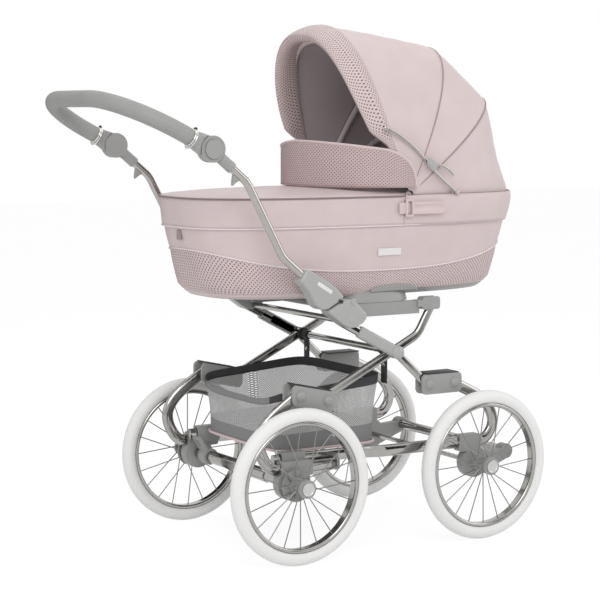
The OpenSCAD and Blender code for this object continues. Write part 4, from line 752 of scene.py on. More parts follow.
def upper_panel(u, v):
    t = turn_at(u)
    z = piping_z(t) + v * (RIM_Z - 1 - piping_z(t))
    x, y, _ = body_point(t, z, UPPER_LIE + UPPER_PUFF * sin(pi * min(1, v * UPPER_RISE)))
    pucker = PUCKER * noise.noise(Vector((x / PUCKER_LONG, y / PUCKER_LONG, z / PUCKER_TALL)))
    return at(x, y + pucker * (1 if y > 0 else -1), z)


def lower_panel(u, v):
    t = turn_at(u)
    z = SHELL_Z + 1 + v * (piping_z(t) - SHELL_Z - 1)
    return at(*body_point(t, z, LOWER_LIE + LOWER_PUFF * sin(pi * v)))


def dotted(tree, pitch_mm):
    """The distance from the nearest dot of a slanting square pattern on the piece's map, in pitches."""
    chart = lay(tree, "TexCoord").outputs
    turned = lay(tree, "Mapping", {"Vector": chart["UV"], "Rotation": (0, 0, radians(45)),
                                             "Scale": (1 / (pitch_mm * MM),) * 3})
    cell = lay(tree, "VectorMath", {0: turned.outputs[0]}, operation="FRACTION")
    split = lay(tree, "SeparateXYZ", {0: cell.outputs[0]}).outputs
    flat = lay(tree, "CombineXYZ", {"X": split["X"], "Y": split["Y"], "Z": 0.0})
    away = lay(tree, "VectorMath", {0: flat.outputs[0], 1: (0.5, 0.5, 0)}, operation="DISTANCE")
    return chart, away.outputs["Value"]


PUNCHED_PATCH, HOLE_EDGE, HOLE_DEEP = 50, 0.04, 0.6


def perforated(name, dark, light, shaded_hole, pitch_mm, hole_mm):
    """Leatherette punched with rows of round holes, on the piece's own map; painted shade darkens the holes."""
    made, tree, shader = finish_of(name, {"Roughness": 0.5})
    chart, away = dotted(tree, pitch_mm)
    rim = hole_mm / pitch_mm / 2
    inside = lay(tree, "MapRange", {"Value": away, "From Min": rim + HOLE_EDGE, "From Max": rim - HOLE_EDGE,
                                              "To Min": 0.0, "To Max": 1.0}).outputs[0]
    patch = lay(tree, "TexNoise", {"Vector": chart["Object"], "Scale": 1 / (PUNCHED_PATCH * MM)})
    skin = mixed(tree, patch.outputs["Fac"], dark, light)
    ridge = lay(tree, "Bump", {"Height": inside, "Distance": HOLE_DEEP * MM, "Strength": 0.8}, invert=True)
    # Inside each punched hole the colour turns to the dark hole tone: the backing seen through, darkened with painted
    # shade.
    joined_up(tree, shader, Base_Color=mixed(tree, inside, skin, shaded_hole), Normal=ridge.outputs[0])
    return made


pink_leather = leather("pale_pink_leatherette", "#ccb9b8", "#d7c7c6")
# The third colour is the holes' dark tone: painted shade inside the punched holes, over the backing seen through them.
perforated_body = perforated("perforated_pink_leatherette", "#c9b6b5", "#d2c1c0", "#77595c", 6.4, 3.2)
body_upper = grid_piece("body_upper_panel", (ROUND_STEPS, 14), upper_panel, (RIM_LENGTH * MM, 0.16))
dress(body_upper, "bassinet", "pink_leather", pink_leather)
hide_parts("bassinet_shell")
body_lower = grid_piece("body_lower_panel", (ROUND_STEPS, 8), lower_panel, (RIM_LENGTH * 0.92 * MM, 0.07))
dress(body_lower, "bassinet", "perforated_pink", perforated_body)


def traced(place, count):
    return [place(k / count) for k in range(count + 1)]


# Share of a cord's radius that is left at its cut ends
CORD_END = 0.35


def tube_piece(name, points, radius_mm, count, sides=10, closed=False, squeeze=1.0):
    """A round cord of stuffed piping or a bent rod along a line of points."""
    line, length = along(points, count + 1)
    radius = radius_mm * MM
    heading = np.gradient(line, axis=0)
    if closed:
        heading[0] = heading[-1] = line[1] - line[-2]

    def skin(u, v):
        k = min(int(round(u * count)), count)
        ahead = Vector(heading[k]).normalized()
        side = ahead.cross(Vector((0, 0, 1)))
        side = side.normalized() if side.length > 0.05 else Vector((0, 1, 0))
        lift = side.cross(ahead).normalized()
        r = radius if closed or 0 < k < count else radius * CORD_END
        turn = 2 * pi * v
        return Vector(line[k]) + side * (r * cos(turn)) + lift * (r * squeeze * sin(turn))

    return grid_piece(name, (count, sides), skin, (length, 2 * pi * radius))


def cord(name, place, count, radius_mm, body, slot, material, **settings):
    piece = tube_piece(name, traced(place, count), radius_mm, count, **settings)
    dress(piece, body, slot, material)
    return piece


def piping_point(u):
    t = turn_at(u)
    return at(*body_point(t, piping_z(t), PIPING_OUT))


# Shiny piping of pale coated cord
piping_cord = worn("coated_piping_cord", "#d8c9c8", "#e8dedc", 3.0, 0.05, (0.2, 0.3))
cord("body_piping", piping_point, 240, PIPING_R, "bassinet", "pink_leather", piping_cord, closed=True)

# Fairing under the tray: a shallow dish that closes the body's foot, in the leatherette that is turned
# under it behind and in bare grey moulding ahead. Each row: share of the way in, height, growth.
FAIRING_ROWS = ((0, 600.5, -1.0), (0.25, 595.0, -4.0), (0.6, 588.0, -14.0), (1, 585.0, -70.0))
FAIRING_TURNED_TO = -20.0


def row_at(rows, v):
    return [float(np.interp(v, [r[0] for r in rows], [r[k] for r in rows])) for k in (1, 2)]


def fairing(u, v):
    z, grow = row_at(FAIRING_ROWS, v)
    return at(*body_point(turn_at(u), SHELL_Z, grow)[:2], z)


dish = grid_piece("base_fairing", (ROUND_STEPS, 10), fairing, (RIM_LENGTH * 0.9 * MM, 0.09), flip=True)
dress(dish, "bassinet", "grey_plastic", grey_plastic, pink_leather)
for face in dish.data.polygons:
    face.material_index = 1 if face.center.x < at(FAIRING_TURNED_TO, 0, 0).x else 0

# Body trim: a bare metal badge and a moulded arch over the base on each side, and behind a short tab
# of webbing to pull.
BADGE_X, BADGE_Z, BADGE_OUT, BADGE_T = (-8.0, 56.0), (680.5, 697.5), 4.4, 1.6
ARCH_X, ARCH_FOOT, ARCH_LOW, ARCH_RISE, ARCH_OUT, ARCH_T = (-21.0, 111.0), 596.0, 3, 13.0, 2.2, 2.4
TAB_PLACE, TAB_SIZE = (-421, -7, 731), (6, 17, 23)


def side_point(x, z, way, grow):
    middle, a, b = body_section(z)
    return at(x, way * (b + grow) * (1 - abs((x - middle) / (a + grow)) ** 3) ** (1 / 3), z)


def badge_face(u, v):
    return side_point(BADGE_X[0] + u * (BADGE_X[1] - BADGE_X[0]), BADGE_Z[0] + v * (BADGE_Z[1] - BADGE_Z[0]), way,
                      BADGE_OUT)


def arch_face(u, v):
    tall = ARCH_LOW + ARCH_RISE * sqrt(max(0.0, 1 - (2 * u - 1) ** 2))
    return side_point(ARCH_X[0] + u * (ARCH_X[1] - ARCH_X[0]), ARCH_FOOT + v * tall, way, ARCH_OUT)


for side, way in SIDES:
    badge = grid_piece("badge_plate_" + side, (16, 4), badge_face, (0.064, 0.017), way > 0, BADGE_T)
    rounded(badge, 0.5, 2)
    dress(badge, "bassinet", "dark_chrome", pale_enamel)
    arch = grid_piece("base_arch_" + side, (32, 4), arch_face, (0.13, 0.02), way > 0, ARCH_T)
    dress(arch, "bassinet", "grey_plastic", grey_plastic)
mauve_web = worn("mauve_pull_webbing", "#948586", "#a89a9a", 1.2, 0.1, (0.6, 0.75))
tab = block("rear_pull_tab", TAB_PLACE, TAB_SIZE)
rounded(tab, 2.0)
dress(tab, "bassinet", "pink_leather", mauve_web)

# Lining: soft brushed cloth that is turned over the rim and hangs inside the tray, down to its floor.
# Each row: share of the way down, height, growth.
lining_cloth = worn("brushed_mauve_lining", "#c3b9ba", "#d0c6c7", 1.0, 0.12, (0.8, 0.95), {"Sheen Weight": 0.3})
LINING_ROWS = ((0, RIM_Z - 1, 0.4), (0.1, RIM_Z + 0.8, -3), (0.18, RIM_Z + 0.6, -9), (0.26, RIM_Z - 6, -13),
               (0.65, 663, -14), (0.97, 613, -14), (1, 612.5, -60))


def lining(u, v):
    z, grow = row_at(LINING_ROWS, v)
    return at(*body_point(turn_at(u), min(z, RIM_Z), grow)[:2], z)


body_lining = grid_piece("body_lining", (ROUND_STEPS, 24), lining, (RIM_LENGTH * MM, 0.26))
dress(body_lining, "bassinet", "mattress_cloth", lining_cloth)

# Hood's skirt: a pink strip that hangs over the front half of the rim, from the hood's hem down to a
# turned edge. A bound line closes it above and a pale cord below.
APRON_FROM = radians(87.906)
HEM_Z, SKIRT_TOP = 749.4, 819.0
SKIRT_T, SKIRT_PUFF, SKIRT_LIE, SKIRT_BELLY = 2.0, 3.4, 2.6, 1.2
EDGE_STEPS = 160
HEM_OUT, HEM_R, TOP_LINE_OUT, TOP_LINE_R = 4.4, 1.6, 4.0, 1.5
skirt_share = float(np.interp(APRON_FROM, fine_turns, fine_steps)) / RIM_LENGTH


def skirt_turn(u):
    return turn_at(skirt_share * (1 - 2 * u) % 1.0)


def skirt_face(u, v):
    z = HEM_Z + v * (SKIRT_TOP - HEM_Z)
    puff = min(1.0, 8 * u, 8 * (1 - u)) * SKIRT_PUFF
    x, y, _ = body_point(skirt_turn(u), min(z, RIM_Z), SKIRT_LIE + puff + (SKIRT_BELLY + puff / 3) * sin(pi * v))
    return at(x, y, z)


skirt_band = grid_piece("hood_skirt_band", (140, 8), skirt_face, (2 * skirt_share * RIM_LENGTH * MM, 0.07), True,
                        SKIRT_T, 1.0)
dress(skirt_band, "bassinet", "pink_leather", pink_leather)
hem_line = worn("dark_bound_edge", "#7d6b6c", "#90807f", 2.0, 0.05, (0.6, 0.7))
skirt_hem = cord("skirt_hem", lambda u: at(*body_point(skirt_turn(u), HEM_Z, HEM_OUT)), EDGE_STEPS, HEM_R,
                 "bassinet", "pink_leather", piping_cord)
skirt_top = cord("skirt_top_line", lambda u: at(*body_point(skirt_turn(u), RIM_Z, TOP_LINE_OUT)[:2], SKIRT_TOP),
                 EDGE_STEPS, TOP_LINE_R, "bassinet", "pink_leather", hem_line)

# Apron: a soft cover over the rear half, with a padded crown and a skirt that hangs round the rim.
# Piping marks the rim, and a pale cord the hem.
APRON_AHEAD, CROWN, APRON_T = 64.0, 20.0, 3.0
# Shares of the way out from the middle, and the crown's height there
APRON_SHARES = ((0.04, 0.36, 0.6, 0.82, 0.97, 1), (1, 0.95, 0.82, 0.6, 0.3, 0.1))
APRON_GROW, APRON_LEAN, APRON_LIFT, APRON_SKIRT = 4.4, 0.015, 4, 0.2
APRON_REACH, APRON_SPACING = 0.96, 1.15


def apron_point(u, plan, z):
    t = turn_at(skirt_share + u * (1 - 2 * skirt_share))
    px = (BODY_HALF_L[1] + APRON_GROW) * power(cos(t), BODY_CORNER)
    py = (BODY_HALF_W[1] + APRON_GROW) * power(sin(t), BODY_CORNER)
    ahead = APRON_AHEAD - BODY_AHEAD[1]
    return at(APRON_AHEAD + plan * (px - ahead), plan * py, z)


def apron_cloth(u, v):
    top = RIM_Z + APRON_LIFT
    if v < APRON_SKIRT:
        share = v / APRON_SKIRT
        return apron_point(u, 1 - APRON_LEAN * (1 - share), HEM_Z + share * (top - HEM_Z))
    plan = 1 - APRON_REACH * ((v - APRON_SKIRT) / (1 - APRON_SKIRT)) ** APRON_SPACING
    return apron_point(u, plan, top + CROWN * float(np.interp(plan, *APRON_SHARES)))


apron = grid_piece("apron_cloth", (144, 40), apron_cloth, (1.34, 0.36), False, APRON_T, -1.0)
dress(apron, "bassinet", "pink_leather", pink_leather)
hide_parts("apron")
apron_edge = cord("apron_rim_piping", lambda u: apron_point(u, 1.002, RIM_Z + 5), EDGE_STEPS, PIPING_R,
                  "bassinet", "pink_leather", hem_line)
apron_hem = cord("apron_hem", lambda u: apron_point(u, 1 - APRON_LEAN, HEM_Z), EDGE_STEPS, 2.0,
                 "bassinet", "pink_leather", piping_cord)

# Wind flap: a stiffened perforated panel that stands up from the apron in a bow round the hood's
# mouth, bound along its top edge with smooth leatherette.
FLAP_AHEAD, FLAP_REACH, FLAP_HALF_W, FLAP_FOOT, FLAP_H = 90.0, 197.0, 210.6, 835.8, 104.0
FLAP_OUT, FLAP_T, FLAP_BIND_R = 2.0, 3.4, 3.4
# Share of a side over which the top falls to the end, the drop on the far side and the turn that reaches it
FLAP_END, FLAP_SLACK, FLAP_SLACK_TURN = 0.25, 0.1, 38
# Shares of the height: at the sides, what the middle adds, and what is left at the ends
FLAP_SIDES, FLAP_MIDDLE, FLAP_LEAST = 0.74, 0.28, 0.2


def flap_top(g):
    e = 1 - abs(g) / 90
    fall = 1 if e > FLAP_END else sqrt(max(0, 1 - (1 - e / FLAP_END) ** 2))
    slack = FLAP_SLACK * min(1.0, max(0.0, g / FLAP_SLACK_TURN))
    return FLAP_H * (FLAP_SIDES + FLAP_MIDDLE * cos(radians(g)) - slack) * (FLAP_LEAST + (1 - FLAP_LEAST) * fall)


def flap_point(u, v):
    g = -90 + 180 * u
    a = radians(g)
    return at(FLAP_AHEAD - (FLAP_REACH + FLAP_OUT) * cos(a), (FLAP_HALF_W + FLAP_OUT) * sin(a),
              FLAP_FOOT + v * flap_top(g))


# The third colour is the holes' dark tone: painted shade inside the punched holes, over the backing seen through them.
perforated_flap = perforated("perforated_mauve_leatherette", "#bfa9a8", "#c8b4b3", "#745a5c", 6.0, 2.9)
flap = grid_piece("flap_panel", (96, 12), flap_point, (0.62, 0.1), False, FLAP_T)
dress(flap, "bassinet", "perforated_pink", perforated_flap)
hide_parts("wind_flap")
flap_rim = [flap_point(0, k / 6) for k in range(6)] + traced(lambda u: flap_point(u, 1), 120)
flap_rim += [flap_point(1, 1 - k / 6) for k in range(1, 7)]
flap_binding = tube_piece("flap_binding", flap_rim, FLAP_BIND_R, EDGE_STEPS)
dress(flap_binding, "bassinet", "pink_leather", pink_leather)

# Mattress: a foam pad in a white cotton cover, lying on the tray's floor. Its side swells a little and
# its top rises to the middle.
mattress_cloth = worn("white_cotton_cover", "#e3dfdc", "#f0edea", 0.8, 0.1, (0.85, 0.95))
PAD_FOOT, PAD_H, PAD_CROWN, PAD_IN, PAD_SWELL, PAD_MOST_IN = 612.2, 34, 6, 24, 6, 170
PAD_SIDE, PAD_RUN, PAD_LEVEL = 0.3, 150, 613


def mattress_skin(u, v):
    top = (v - PAD_SIDE) / (1 - PAD_SIDE)
    inset = PAD_IN + top * PAD_RUN if v >= PAD_SIDE else PAD_IN - PAD_SWELL * sin(pi * min(1, v / PAD_SIDE))
    z = PAD_FOOT + PAD_H * min(1, v / PAD_SIDE) + PAD_CROWN * sin(pi / 2 * max(0, top))
    return at(*body_point(turn_at(u), PAD_LEVEL, -min(inset, PAD_MOST_IN))[:2], z)


mattress = grid_piece("mattress_pad", (ROUND_STEPS, 16), mattress_skin, (2.1, 0.2))
bpy.ops.object.mode_set(mode="EDIT")
bpy.ops.mesh.select_mode(type="VERT")
bpy.ops.mesh.select_non_manifold()
bpy.ops.mesh.edge_face_add()
bpy.ops.object.mode_set(mode="OBJECT")
dress(mattress, "bassinet", "mattress_cloth", mattress_cloth)
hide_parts("mattress")

# Hood: pink leatherette gores over two bows and a padded front band. The band and the bows' trim turn
# with their bodies on the rim's two pivots; the gores are left fixed where they are built. Each gore is
# lined, follows the bows at its two seams and hangs down to the rim.
HOOD_X, HOOD_Z, HOOD_HALF_W, HOOD_ROOT = 78.0, 819.4, 203.0, 10.0
ARCH_POWER = 0.8
PIVOT_SWELL, PIVOT_REACH = 5.0, 60.0
GORE_T, GORE_RUFFLE, GORE_FROM = 2.6, 1.6, -16.9
RUFFLES_ROUND, RUFFLE_DEGREES, RUFFLE_SEED = 7, 9, 3.7


def hood_point(angle, t, r, w):
    q = r * sin(t) ** ARCH_POWER
    a = radians(angle)
    return at(HOOD_X + q * sin(a), w * power(cos(t), ARCH_POWER), HOOD_Z + q * cos(a))


def arch_turn(u, r, root=HOOD_ROOT):
    start = asin((root / r) ** (1 / ARCH_POWER))
    return start + u * (pi - 2 * start)


# Each gore: its node, the two bodies it spans, the half chord of the turn between them, how far it
# stands proud, the flat cut's length, width and area in metres, and its radius at each angle
GORES = [
    ("hood_gore_front", "hood_front", "hood_mid", 60, 0.5, (0.9, 0.302), 0.174,
     ((-19, 407), (-16.9, 404), (-6.25, 383), (4.5, 372), (15.25, 373), (26, 387))),
    ("hood_gore_mid", "hood_mid", "hood_rear", 40, 0.0, (0.9, 0.19), 0.109,
     ((26, 387), (33, 383), (40, 381.5), (47, 385), (54, 394))),
    ("hood_gore_rear", "hood_rear", "bassinet", 48, -0.5, (0.92, 0.26), 0.144,
     ((54, 394), (58, 387), (63, 378), (70, 370), (77, 370), (83, 378), (88, 391), (91.5, 397))),
]
for node_name, front_body, rear_body, half_chord, proud, flat_cut, cut_area, rows in GORES:
    angles, radii = zip(*rows)
    first, last = angles[0], angles[-1]

    def gore(u, v):
        angle = first + v * (last - first)
        near = [min(max(angle + step, first), last) for step in (-2, -1, 0, 1, 2)]
        inner = sin(pi * v)
        r = inner * float(np.mean(np.interp(near, angles, radii)))
        r += (1 - inner) * float(np.interp(angle, angles, radii))
        r += proud + GORE_RUFFLE * inner * noise.noise(Vector((u * RUFFLES_ROUND, angle / RUFFLE_DEGREES, RUFFLE_SEED)))
        q = r * sin(arch_turn(u, r)) ** ARCH_POWER
        swell = PIVOT_SWELL * max(0.0, 1 - q / PIVOT_REACH) ** 1.4
        return hood_point(angle, arch_turn(u, r), r, HOOD_HALF_W + proud + swell)

    cover = grid_piece(node_name + "_cloth", (110, 24), gore, (0.95, radians(last - first) * 0.38))
    cover.data.materials.append(pink_leather)
    cover.data.materials.append(lining_cloth)
    work(cover, "SOLIDIFY", thickness=GORE_T * MM, offset=-1.0, material_offset=1)
    middle = radians((max(first, GORE_FROM) + last) / 2)
    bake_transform(cover)
    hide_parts(node_name)

# Front band of the hood: a padded roll of perforated leatherette round the mouth, with a strip
# gathered on elastic along its inner edge.
# The third colour is the holes' dark tone: painted shade inside the punched holes, over the backing seen through them.
perforated_band = perforated("perforated_band_leatherette", "#cdbab8", "#d6c5c3", "#5f4646", 6.4, 3.1)
BAND_ANGLE, BAND_R, BAND_HALF, BAND_ROOT = -21.5, 409.0, 33.0, 46.0
BAND_OUT, BAND_DEEP, BAND_BULGE = 7.5, 24.0, 27.0
BAND_MOST_TURN = radians(4.6)
# Heights on the band, as shares: where the bulge starts, over how much it grows and where it fades
BULGE_FROM, BULGE_GROWS, BULGE_FADES = 0.31, 0.12, 0.45
ROLL_FACE, ROLL_SIDE, ROLL_IN, ROLL_SPREAD = 0.8, 0.85, 4, 0.7
LEAST_REACH = 60


def band_skin(u, v):
    t = arch_turn(u, BAND_R, BAND_ROOT)
    turn = 2 * pi * v
    ends = min(1.0, 9 * u, 9 * (1 - u))
    height = sin(t) ** ARCH_POWER
    q = max(BAND_R * height, LEAST_REACH)
    fade = cos(pi / 2 * min(1.0, max(0.0, (height - BULGE_FADES) / (1 - BULGE_FADES))))
    bulge = BAND_BULGE * min(1.0, max(0.0, (height - BULGE_FROM) / BULGE_GROWS)) * fade
    half = min(BAND_HALF / q, BAND_MOST_TURN)
    across = power(cos(turn), ROLL_FACE)
    angle = BAND_ANGLE + degrees(across * (half if across > 0 else half + bulge / q))
    through = power(sin(turn), ROLL_SIDE)
    deep = through * (BAND_OUT if through > 0 else BAND_DEEP) * (0.4 + 0.6 * ends)
    return hood_point(angle, t, BAND_R + deep, HOOD_HALF_W - ROLL_IN + ROLL_SPREAD * deep)


band_roll = grid_piece("hood_band_roll", (120, 32), band_skin, (0.98, 0.17))
dress(band_roll, "hood_front", "perforated_pink", perforated_band)
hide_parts("hood_front_band")

GATHERS, GATHER_DEEP, GATHER_ROOT, GATHER_W, GATHER_T = 64, 2.4, 120.0, 15, 1.4
GATHER_LIFT, GATHER_BACK, GATHER_SLANT, GATHER_IN, GATHER_SEWN = 4, 4, 6, 8, 0.35


def gathered(u, v):
    t = arch_turn(u, BAND_R, GATHER_ROOT)
    r = BAND_R - BAND_DEEP + GATHER_LIFT - GATHER_W * v
    q = max(r * sin(t) ** ARCH_POWER, LEAST_REACH)
    ripple = GATHER_DEEP * sin(2 * pi * GATHERS * u) * (GATHER_SEWN + (1 - GATHER_SEWN) * v)
    back = degrees((GATHER_BACK + GATHER_SLANT * v + ripple) / q)
    return hood_point(BAND_ANGLE + back, t, r, HOOD_HALF_W - GATHER_IN)


gather = grid_piece("hood_gathered_edge", (GATHERS * 8, 4), gathered, (0.9, 0.016), False, GATHER_T)
dress(gather, "hood_front", "pink_leather", pink_leather)

# Bows inside the hood: each rod runs in a sleeve of the lining, and outside a stitched ridge marks it.
# The brackets that they turn on are covered in the hood's leatherette.
sleeve_cloth = worn("pale_lining_sleeve", "#d6cccd", "#e2d9da", 1.0, 0.12, (0.8, 0.95))
seam_thread = worn("mauve_stitched_seam", "#9a8585", "#b09b9b", 2.5, 0.1, (0.6, 0.7))
# Stem of the name, body, angle, radius of the seam and of the rod
BOWS = [("mid_bow", "hood_mid", 26.0, 387.0, 377.0), ("rear_bow", "hood_rear", 54.0, 394.0, 384.0)]
BOW_STEPS = 120
SEAM_R, SEAM_PROUD, SEAM_ROOT, SLEEVE_R, SLEEVE_IN, SLEEVE_ROOT = 1.1, 0.7, 30, 7.0, 13, 100
for stem, body, angle, r, rod_r in BOWS:
    cord("seam_over_" + stem,
         lambda u: hood_point(angle, arch_turn(u, r, SEAM_ROOT), r + SEAM_PROUD, HOOD_HALF_W + SEAM_PROUD),
         BOW_STEPS, SEAM_R, body, "pink_leather", seam_thread, sides=8)
    cord("sleeve_of_" + stem,
         lambda u: hood_point(angle, arch_turn(u, rod_r, SLEEVE_ROOT), rod_r, HOOD_HALF_W - SLEEVE_IN),
         BOW_STEPS, SLEEVE_R, body, "mattress_cloth", sleeve_cloth, sides=12)
paint(pink_leather, "hood_pivot_brackets")

# Stays: on each side two bright rods with ball ends meet at a flat knuckle, whose curved tail is the
# lever that lets the hood down.
STAY_TOP, STAY_JOINT, STAY_FOOT = (9.67, 972.9), (127.3, 890.6), (209.0, 822.4)
STAY_UPPER_PULL, STAY_LOWER_PULL = (80.0, 946.0), (163.0, 851.0)
STAY_TAIL_PULL, STAY_TAIL_END = (178.0, 890.0), (199.0, 862.0)
STAY_UPPER_Y, STAY_LOWER_Y, BALL_FLAT = 207.3, 211.9, 0.45
STAY_R, STAY_STEPS, STAY_TOP_R, STAY_FOOT_R = 2.0, 40, 6.6, 6.2
STAY_PLATE = ((119.0, 897.0), (122.0, 901.5), (127.0, 905.5), (150.0, 889.0), (146.0, 875.5), (134.0, 874.0),
              (120.5, 887.0))
STAY_PLATE_Y = (STAY_LOWER_Y + 1.6, STAY_LOWER_Y + 5.2)
RIVET_Y, RIVET_R, RIVET_RISE = STAY_LOWER_Y + 5.0, 3.2, 1.4


def stay_rod(name, first, pull, last, y, squeeze):
    """A flattened rod bent in one easy curve in the side plane."""
    def bend(u, k):
        return (1 - u) ** 2 * first[k] + 2 * u * (1 - u) * pull[k] + u * u * last[k]

    points = traced(lambda u: at(bend(u, 0), y, bend(u, 1)), STAY_STEPS)
    return tube_piece(name, points, STAY_R, STAY_STEPS, sides=12, squeeze=squeeze)


def joined(name, pieces):
    alone(pieces[0])
    for piece in pieces:
        piece.select_set(True)
    bpy.ops.object.join()
    pieces[0].name = pieces[0].data.name = name
    return pieces[0]


def ball(place, y, radius):
    made = start_piece("ball", bpy.ops.mesh.primitive_uv_sphere_add, segments=24, ring_count=14, radius=radius * MM,
                       location=at(place[0], y, place[1]), scale=(1, BALL_FLAT, 1))
    bpy.ops.object.shade_smooth()
    return made


for side, way in SIDES:
    upper_y, lower_y = way * STAY_UPPER_Y, way * STAY_LOWER_Y
    rod = stay_rod("upper_rod", STAY_TOP, STAY_UPPER_PULL, STAY_JOINT, upper_y, 1.8)
    upper = joined("stay_upper_" + side, [rod, ball(STAY_TOP, upper_y, STAY_TOP_R)])
    dress(upper, "stay_upper", "dark_chrome", champagne)
    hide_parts("hood_stay_upper")
    rod = stay_rod("lower_rod", STAY_JOINT, STAY_LOWER_PULL, STAY_FOOT, lower_y, 1.7)
    tail = stay_rod("tail_rod", STAY_JOINT, STAY_TAIL_PULL, STAY_TAIL_END, lower_y, 1.5)
    plate = shell("stay_knuckle_" + side, STAY_PLATE, way, STAY_PLATE_Y, 1.2)
    dress(plate, "stay_lower", "grey_plastic", hinge_plastic)
    lower = joined("stay_lower_" + side, [rod, tail, ball(STAY_FOOT, lower_y, STAY_FOOT_R)])
    dress(lower, "stay_lower", "dark_chrome", champagne)
    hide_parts("hood_stay_lower")
    rivet = dome("stay_rivet_" + side, STAY_JOINT[0], RIVET_Y, STAY_JOINT[1], way, RIVET_R, RIVET_RISE)
    dress(rivet, "stay_lower", "dark_chrome", champagne)

# Side buckles: on each side a moulded ring on a short web and a long clip that fastens the apron to
# the hood's skirt.
strap_pink = worn("pink_moulded_nylon", "#cdb8b7", "#d9c7c6", 1.0, 0.06, (0.35, 0.45))
BUCKLE_Y, BUCKLE_Z, WEB_Y = 215.0, 789, 213.5
BUCKLE_X, BUCKLE_SIZE, BUCKLE_FRAME = 71, (22, 6, 42), 5.5
WEB_X, WEB_SIZE = 56, (26, 3, 26)
CLIP_Y, CLIP_X, CLIP_Z = (212.0, 220.0), (77.0, 158.0), (774.0, 803.0)
CLIP_R = (CLIP_Z[1] - CLIP_Z[0]) / 2
CLIP_STEPS = ((4.0, 0), (1.0, -1.4))
CLIP_OUTLINE = [(CLIP_X[0], CLIP_Z[0]), (CLIP_X[0], CLIP_Z[1])] + [
    (CLIP_X[1] + CLIP_R * cos(radians(a)), CLIP_Z[0] + CLIP_R * (1 + sin(radians(a))))
    for a in range(90, -91, -15)]
for side, way in SIDES:
    loop = block("buckle_ring_" + side, (BUCKLE_X, way * BUCKLE_Y, BUCKLE_Z), BUCKLE_SIZE)
    press(loop, lambda face: abs(face.normal.y) > 0.9, [(BUCKLE_FRAME, 0)], bridge=True)
    rounded(loop, 1.8)
    dress(loop, "bassinet", "pink_leather", strap_pink)
    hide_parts("side_buckles")
    clip = shell("buckle_clip_" + side, CLIP_OUTLINE, way, CLIP_Y, 2.0)
    press(clip, lambda face: face.normal.y * way > 0.999 and len(face.vertices) > 8, CLIP_STEPS)
    dress(clip, "bassinet", "pink_leather", strap_pink)
    web = block("buckle_web_" + side, (WEB_X, way * WEB_Y, BUCKLE_Z), WEB_SIZE)
    rounded(web, 1.0, 2)
    dress(web, "bassinet", "pink_leather", strap_pink)

# Basket: a soft square-cornered tray of open mesh with a charcoal rim band, a solid floor and pink
# piping round its foot. Its rear wall sags between the corners.
BASKET_AHEAD, BASKET_HALF_L, BASKET_HALF_W = -121.0, 151.5, 189.7
BASKET_Z, BASKET_H, BASKET_FALL, BASKET_FOOT = 240.0, 150.0, 26.0, 0.94
BASKET_CORNER, BASKET_STEPS = 2 / 7, 160
REAR_SAG, REAR_FROM = 0.16, 0.7
FOOT_AT, FOOT_OUT, FOOT_R, FOOT_STEPS = 0.014, 0.8, 3.0, 200
NET_PITCH, NET_FOOT, RIM_BAND = 4.2, 0.046, 0.87
NET_IN, NET_HOLLOW = 1.5, 3.0
RIM_T, FLOOR_T, FLOOR_LIFT, FLOOR_REACH = 2.4, 2.0, 1.2, 0.98


def basket_point(t, v, grow=0.0):
    share = BASKET_FOOT + (1 - BASKET_FOOT) * v
    x = (share * BASKET_HALF_L + grow) * power(cos(t), BASKET_CORNER)
    y = (share * BASKET_HALF_W + grow) * power(sin(t), BASKET_CORNER)
    rear = max(0.0, (-x / BASKET_HALF_L - REAR_FROM) / (1 - REAR_FROM)) * (1 - min(1.0, abs(y) / BASKET_HALF_W) ** 4)
    tall = (BASKET_H + BASKET_FALL * x / (2 * BASKET_HALF_L)) * (1 - REAR_SAG * rear)
    return at(BASKET_AHEAD + x, y, BASKET_Z + v * tall)


basket_steps = lengths_along(np.array([basket_point(t, 1) for t in fine_turns]))
BASKET_ROUND = basket_steps[-1]


def basket_turn(u):
    return float(np.interp(u * BASKET_ROUND, basket_steps, fine_turns))


# Knitted net with open meshes, knitted close along its foot
net, tree, shader = finish_of("knitted_mesh_net", {"Roughness": 0.7})
chart, away = dotted(tree, NET_PITCH)
thread = lay(tree, "MapRange", {"Value": away, "From Min": 0.28, "From Max": 0.36, "To Min": 0.25,
                                          "To Max": 1.0}).outputs[0]
height = lay(tree, "SeparateXYZ", {0: chart["UV"]}).outputs["Y"]
solid = reckoned(tree, "LESS_THAN", height, NET_FOOT)
open_tone = mixed(tree, thread, "#8f908f", "#bebebc")
joined_up(tree, shader, Base_Color=mixed(tree, solid, open_tone, "#828281"),
          Alpha=reckoned(tree, "MAXIMUM", solid, thread))
charcoal = worn("charcoal_webbing", "#2f2f31", "#434345", 1.2, 0.15, (0.7, 0.85))
floor_cloth = worn("grey_floor_cloth", "#7b7b7b", "#8d8d8c", 1.5, 0.1, (0.75, 0.9))
basket_pink = worn("pink_basket_piping", "#d3bbbb", "#dfcaca", 2.0, 0.05, (0.45, 0.55))


def basket_piece(piece, slot, *materials):
    dress(piece, "rear_unit", slot, *materials)
    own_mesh(piece)


def basket_wall(u, v):
    return basket_point(basket_turn(u), v * RIM_BAND, -NET_IN - NET_HOLLOW * sin(pi * v))


def basket_band(u, v):
    return basket_point(basket_turn(u), RIM_BAND + (1 - RIM_BAND) * v, -0.5)


def basket_floor(u, v):
    x, y, z = basket_point(basket_turn(u), 0, -1.0)
    c = at(BASKET_AHEAD, 0, BASKET_Z)
    left = 1 - v * FLOOR_REACH
    return Vector((c.x + (x - c.x) * left, y * left, c.z + FLOOR_LIFT * MM))


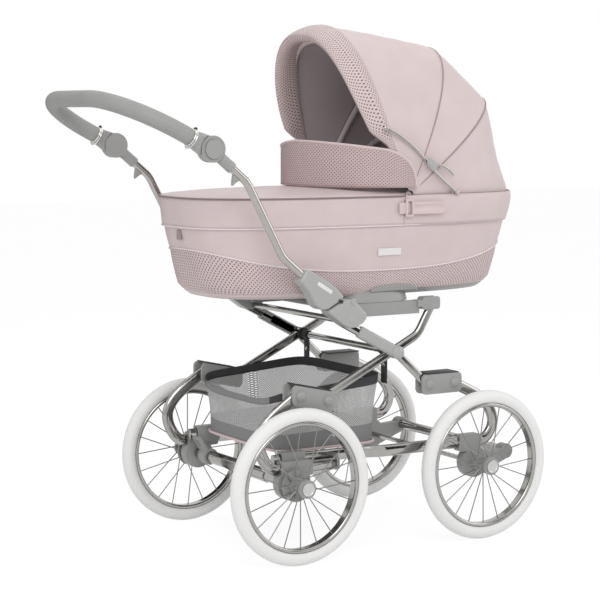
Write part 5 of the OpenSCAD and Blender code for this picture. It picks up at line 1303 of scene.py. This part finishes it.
basket_net = grid_piece("basket_net", (BASKET_STEPS, 14), basket_wall, (BASKET_ROUND, 0.14))
basket_piece(basket_net, "basket_mesh", net)
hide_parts("basket")
rim = grid_piece("basket_rim", (BASKET_STEPS, 4), basket_band, (BASKET_ROUND, 0.022), False, RIM_T, -1.0)
basket_piece(rim, "dark_webbing", charcoal, floor_cloth)
for face in rim.data.polygons:
    rear_wall = face.center.x < at(BASKET_AHEAD - 0.9 * BASKET_HALF_L, 0, 0).x and abs(face.center.y) < 0.15
    face.material_index = 1 if rear_wall else 0
base = grid_piece("basket_floor", (BASKET_STEPS, 10), basket_floor, (0.36, 0.28), True, FLOOR_T, 1.0)
basket_piece(base, "basket_mesh", floor_cloth)
foot_points = traced(lambda u: basket_point(basket_turn(u), FOOT_AT, FOOT_OUT), FOOT_STEPS)
edge = tube_piece("basket_piping", foot_points, FOOT_R, FOOT_STEPS, closed=True)
basket_piece(edge, "pink_leather", basket_pink)

# Straps that hold the basket to the scissor axle: charcoal webbing with a loop round the tube and a
# snap that closes it.
STRAP_Y, STRAP_W, STRAP_LOOP_R, STRAP_LEN, STRAP_T = 160.0, 24.0, 9.6, 78.0, 1.6
# Share of the strap that makes the loop, and the share after it that leads in to the tube's middle
LOOP_SHARE, LEAD_SHARE = 0.45, 0.1
SNAP_R, SNAP_BACK, SNAP_DROP, SNAP_FLAT = 5.5, 1.5, 34, (0.5, 1, 1)


def strap(u, v):
    y = way * (STRAP_Y + STRAP_W * v)
    if u < LOOP_SHARE:
        turn = radians(-90 + 360 * u / LOOP_SHARE)
        return at(SCISSOR[0] + STRAP_LOOP_R * sin(turn), y, SCISSOR[1] + STRAP_LOOP_R * cos(turn))
    return at(SCISSOR[0] - STRAP_LOOP_R + STRAP_LOOP_R * min(1, (u - LOOP_SHARE) / LEAD_SHARE), y,
              SCISSOR[1] - STRAP_LEN * (u - LOOP_SHARE) / (1 - LOOP_SHARE))


for side, way in SIDES:
    band = grid_piece("basket_strap_" + side, (60, 4), strap, (0.14, 0.024), False, STRAP_T)
    dress(band, "rear_scissor", "dark_webbing", charcoal)
    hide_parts("basket_straps")
    snap = start_piece("strap_snap_" + side, bpy.ops.mesh.primitive_uv_sphere_add, segments=20, ring_count=10,
                       radius=SNAP_R * MM, scale=SNAP_FLAT,
                       location=at(SCISSOR[0] - SNAP_BACK, way * (STRAP_Y + STRAP_W / 2), SCISSOR[1] - SNAP_DROP))
    bpy.ops.object.shade_smooth()
    dress(snap, "rear_scissor", "dark_chrome", chrome_painted_dark)
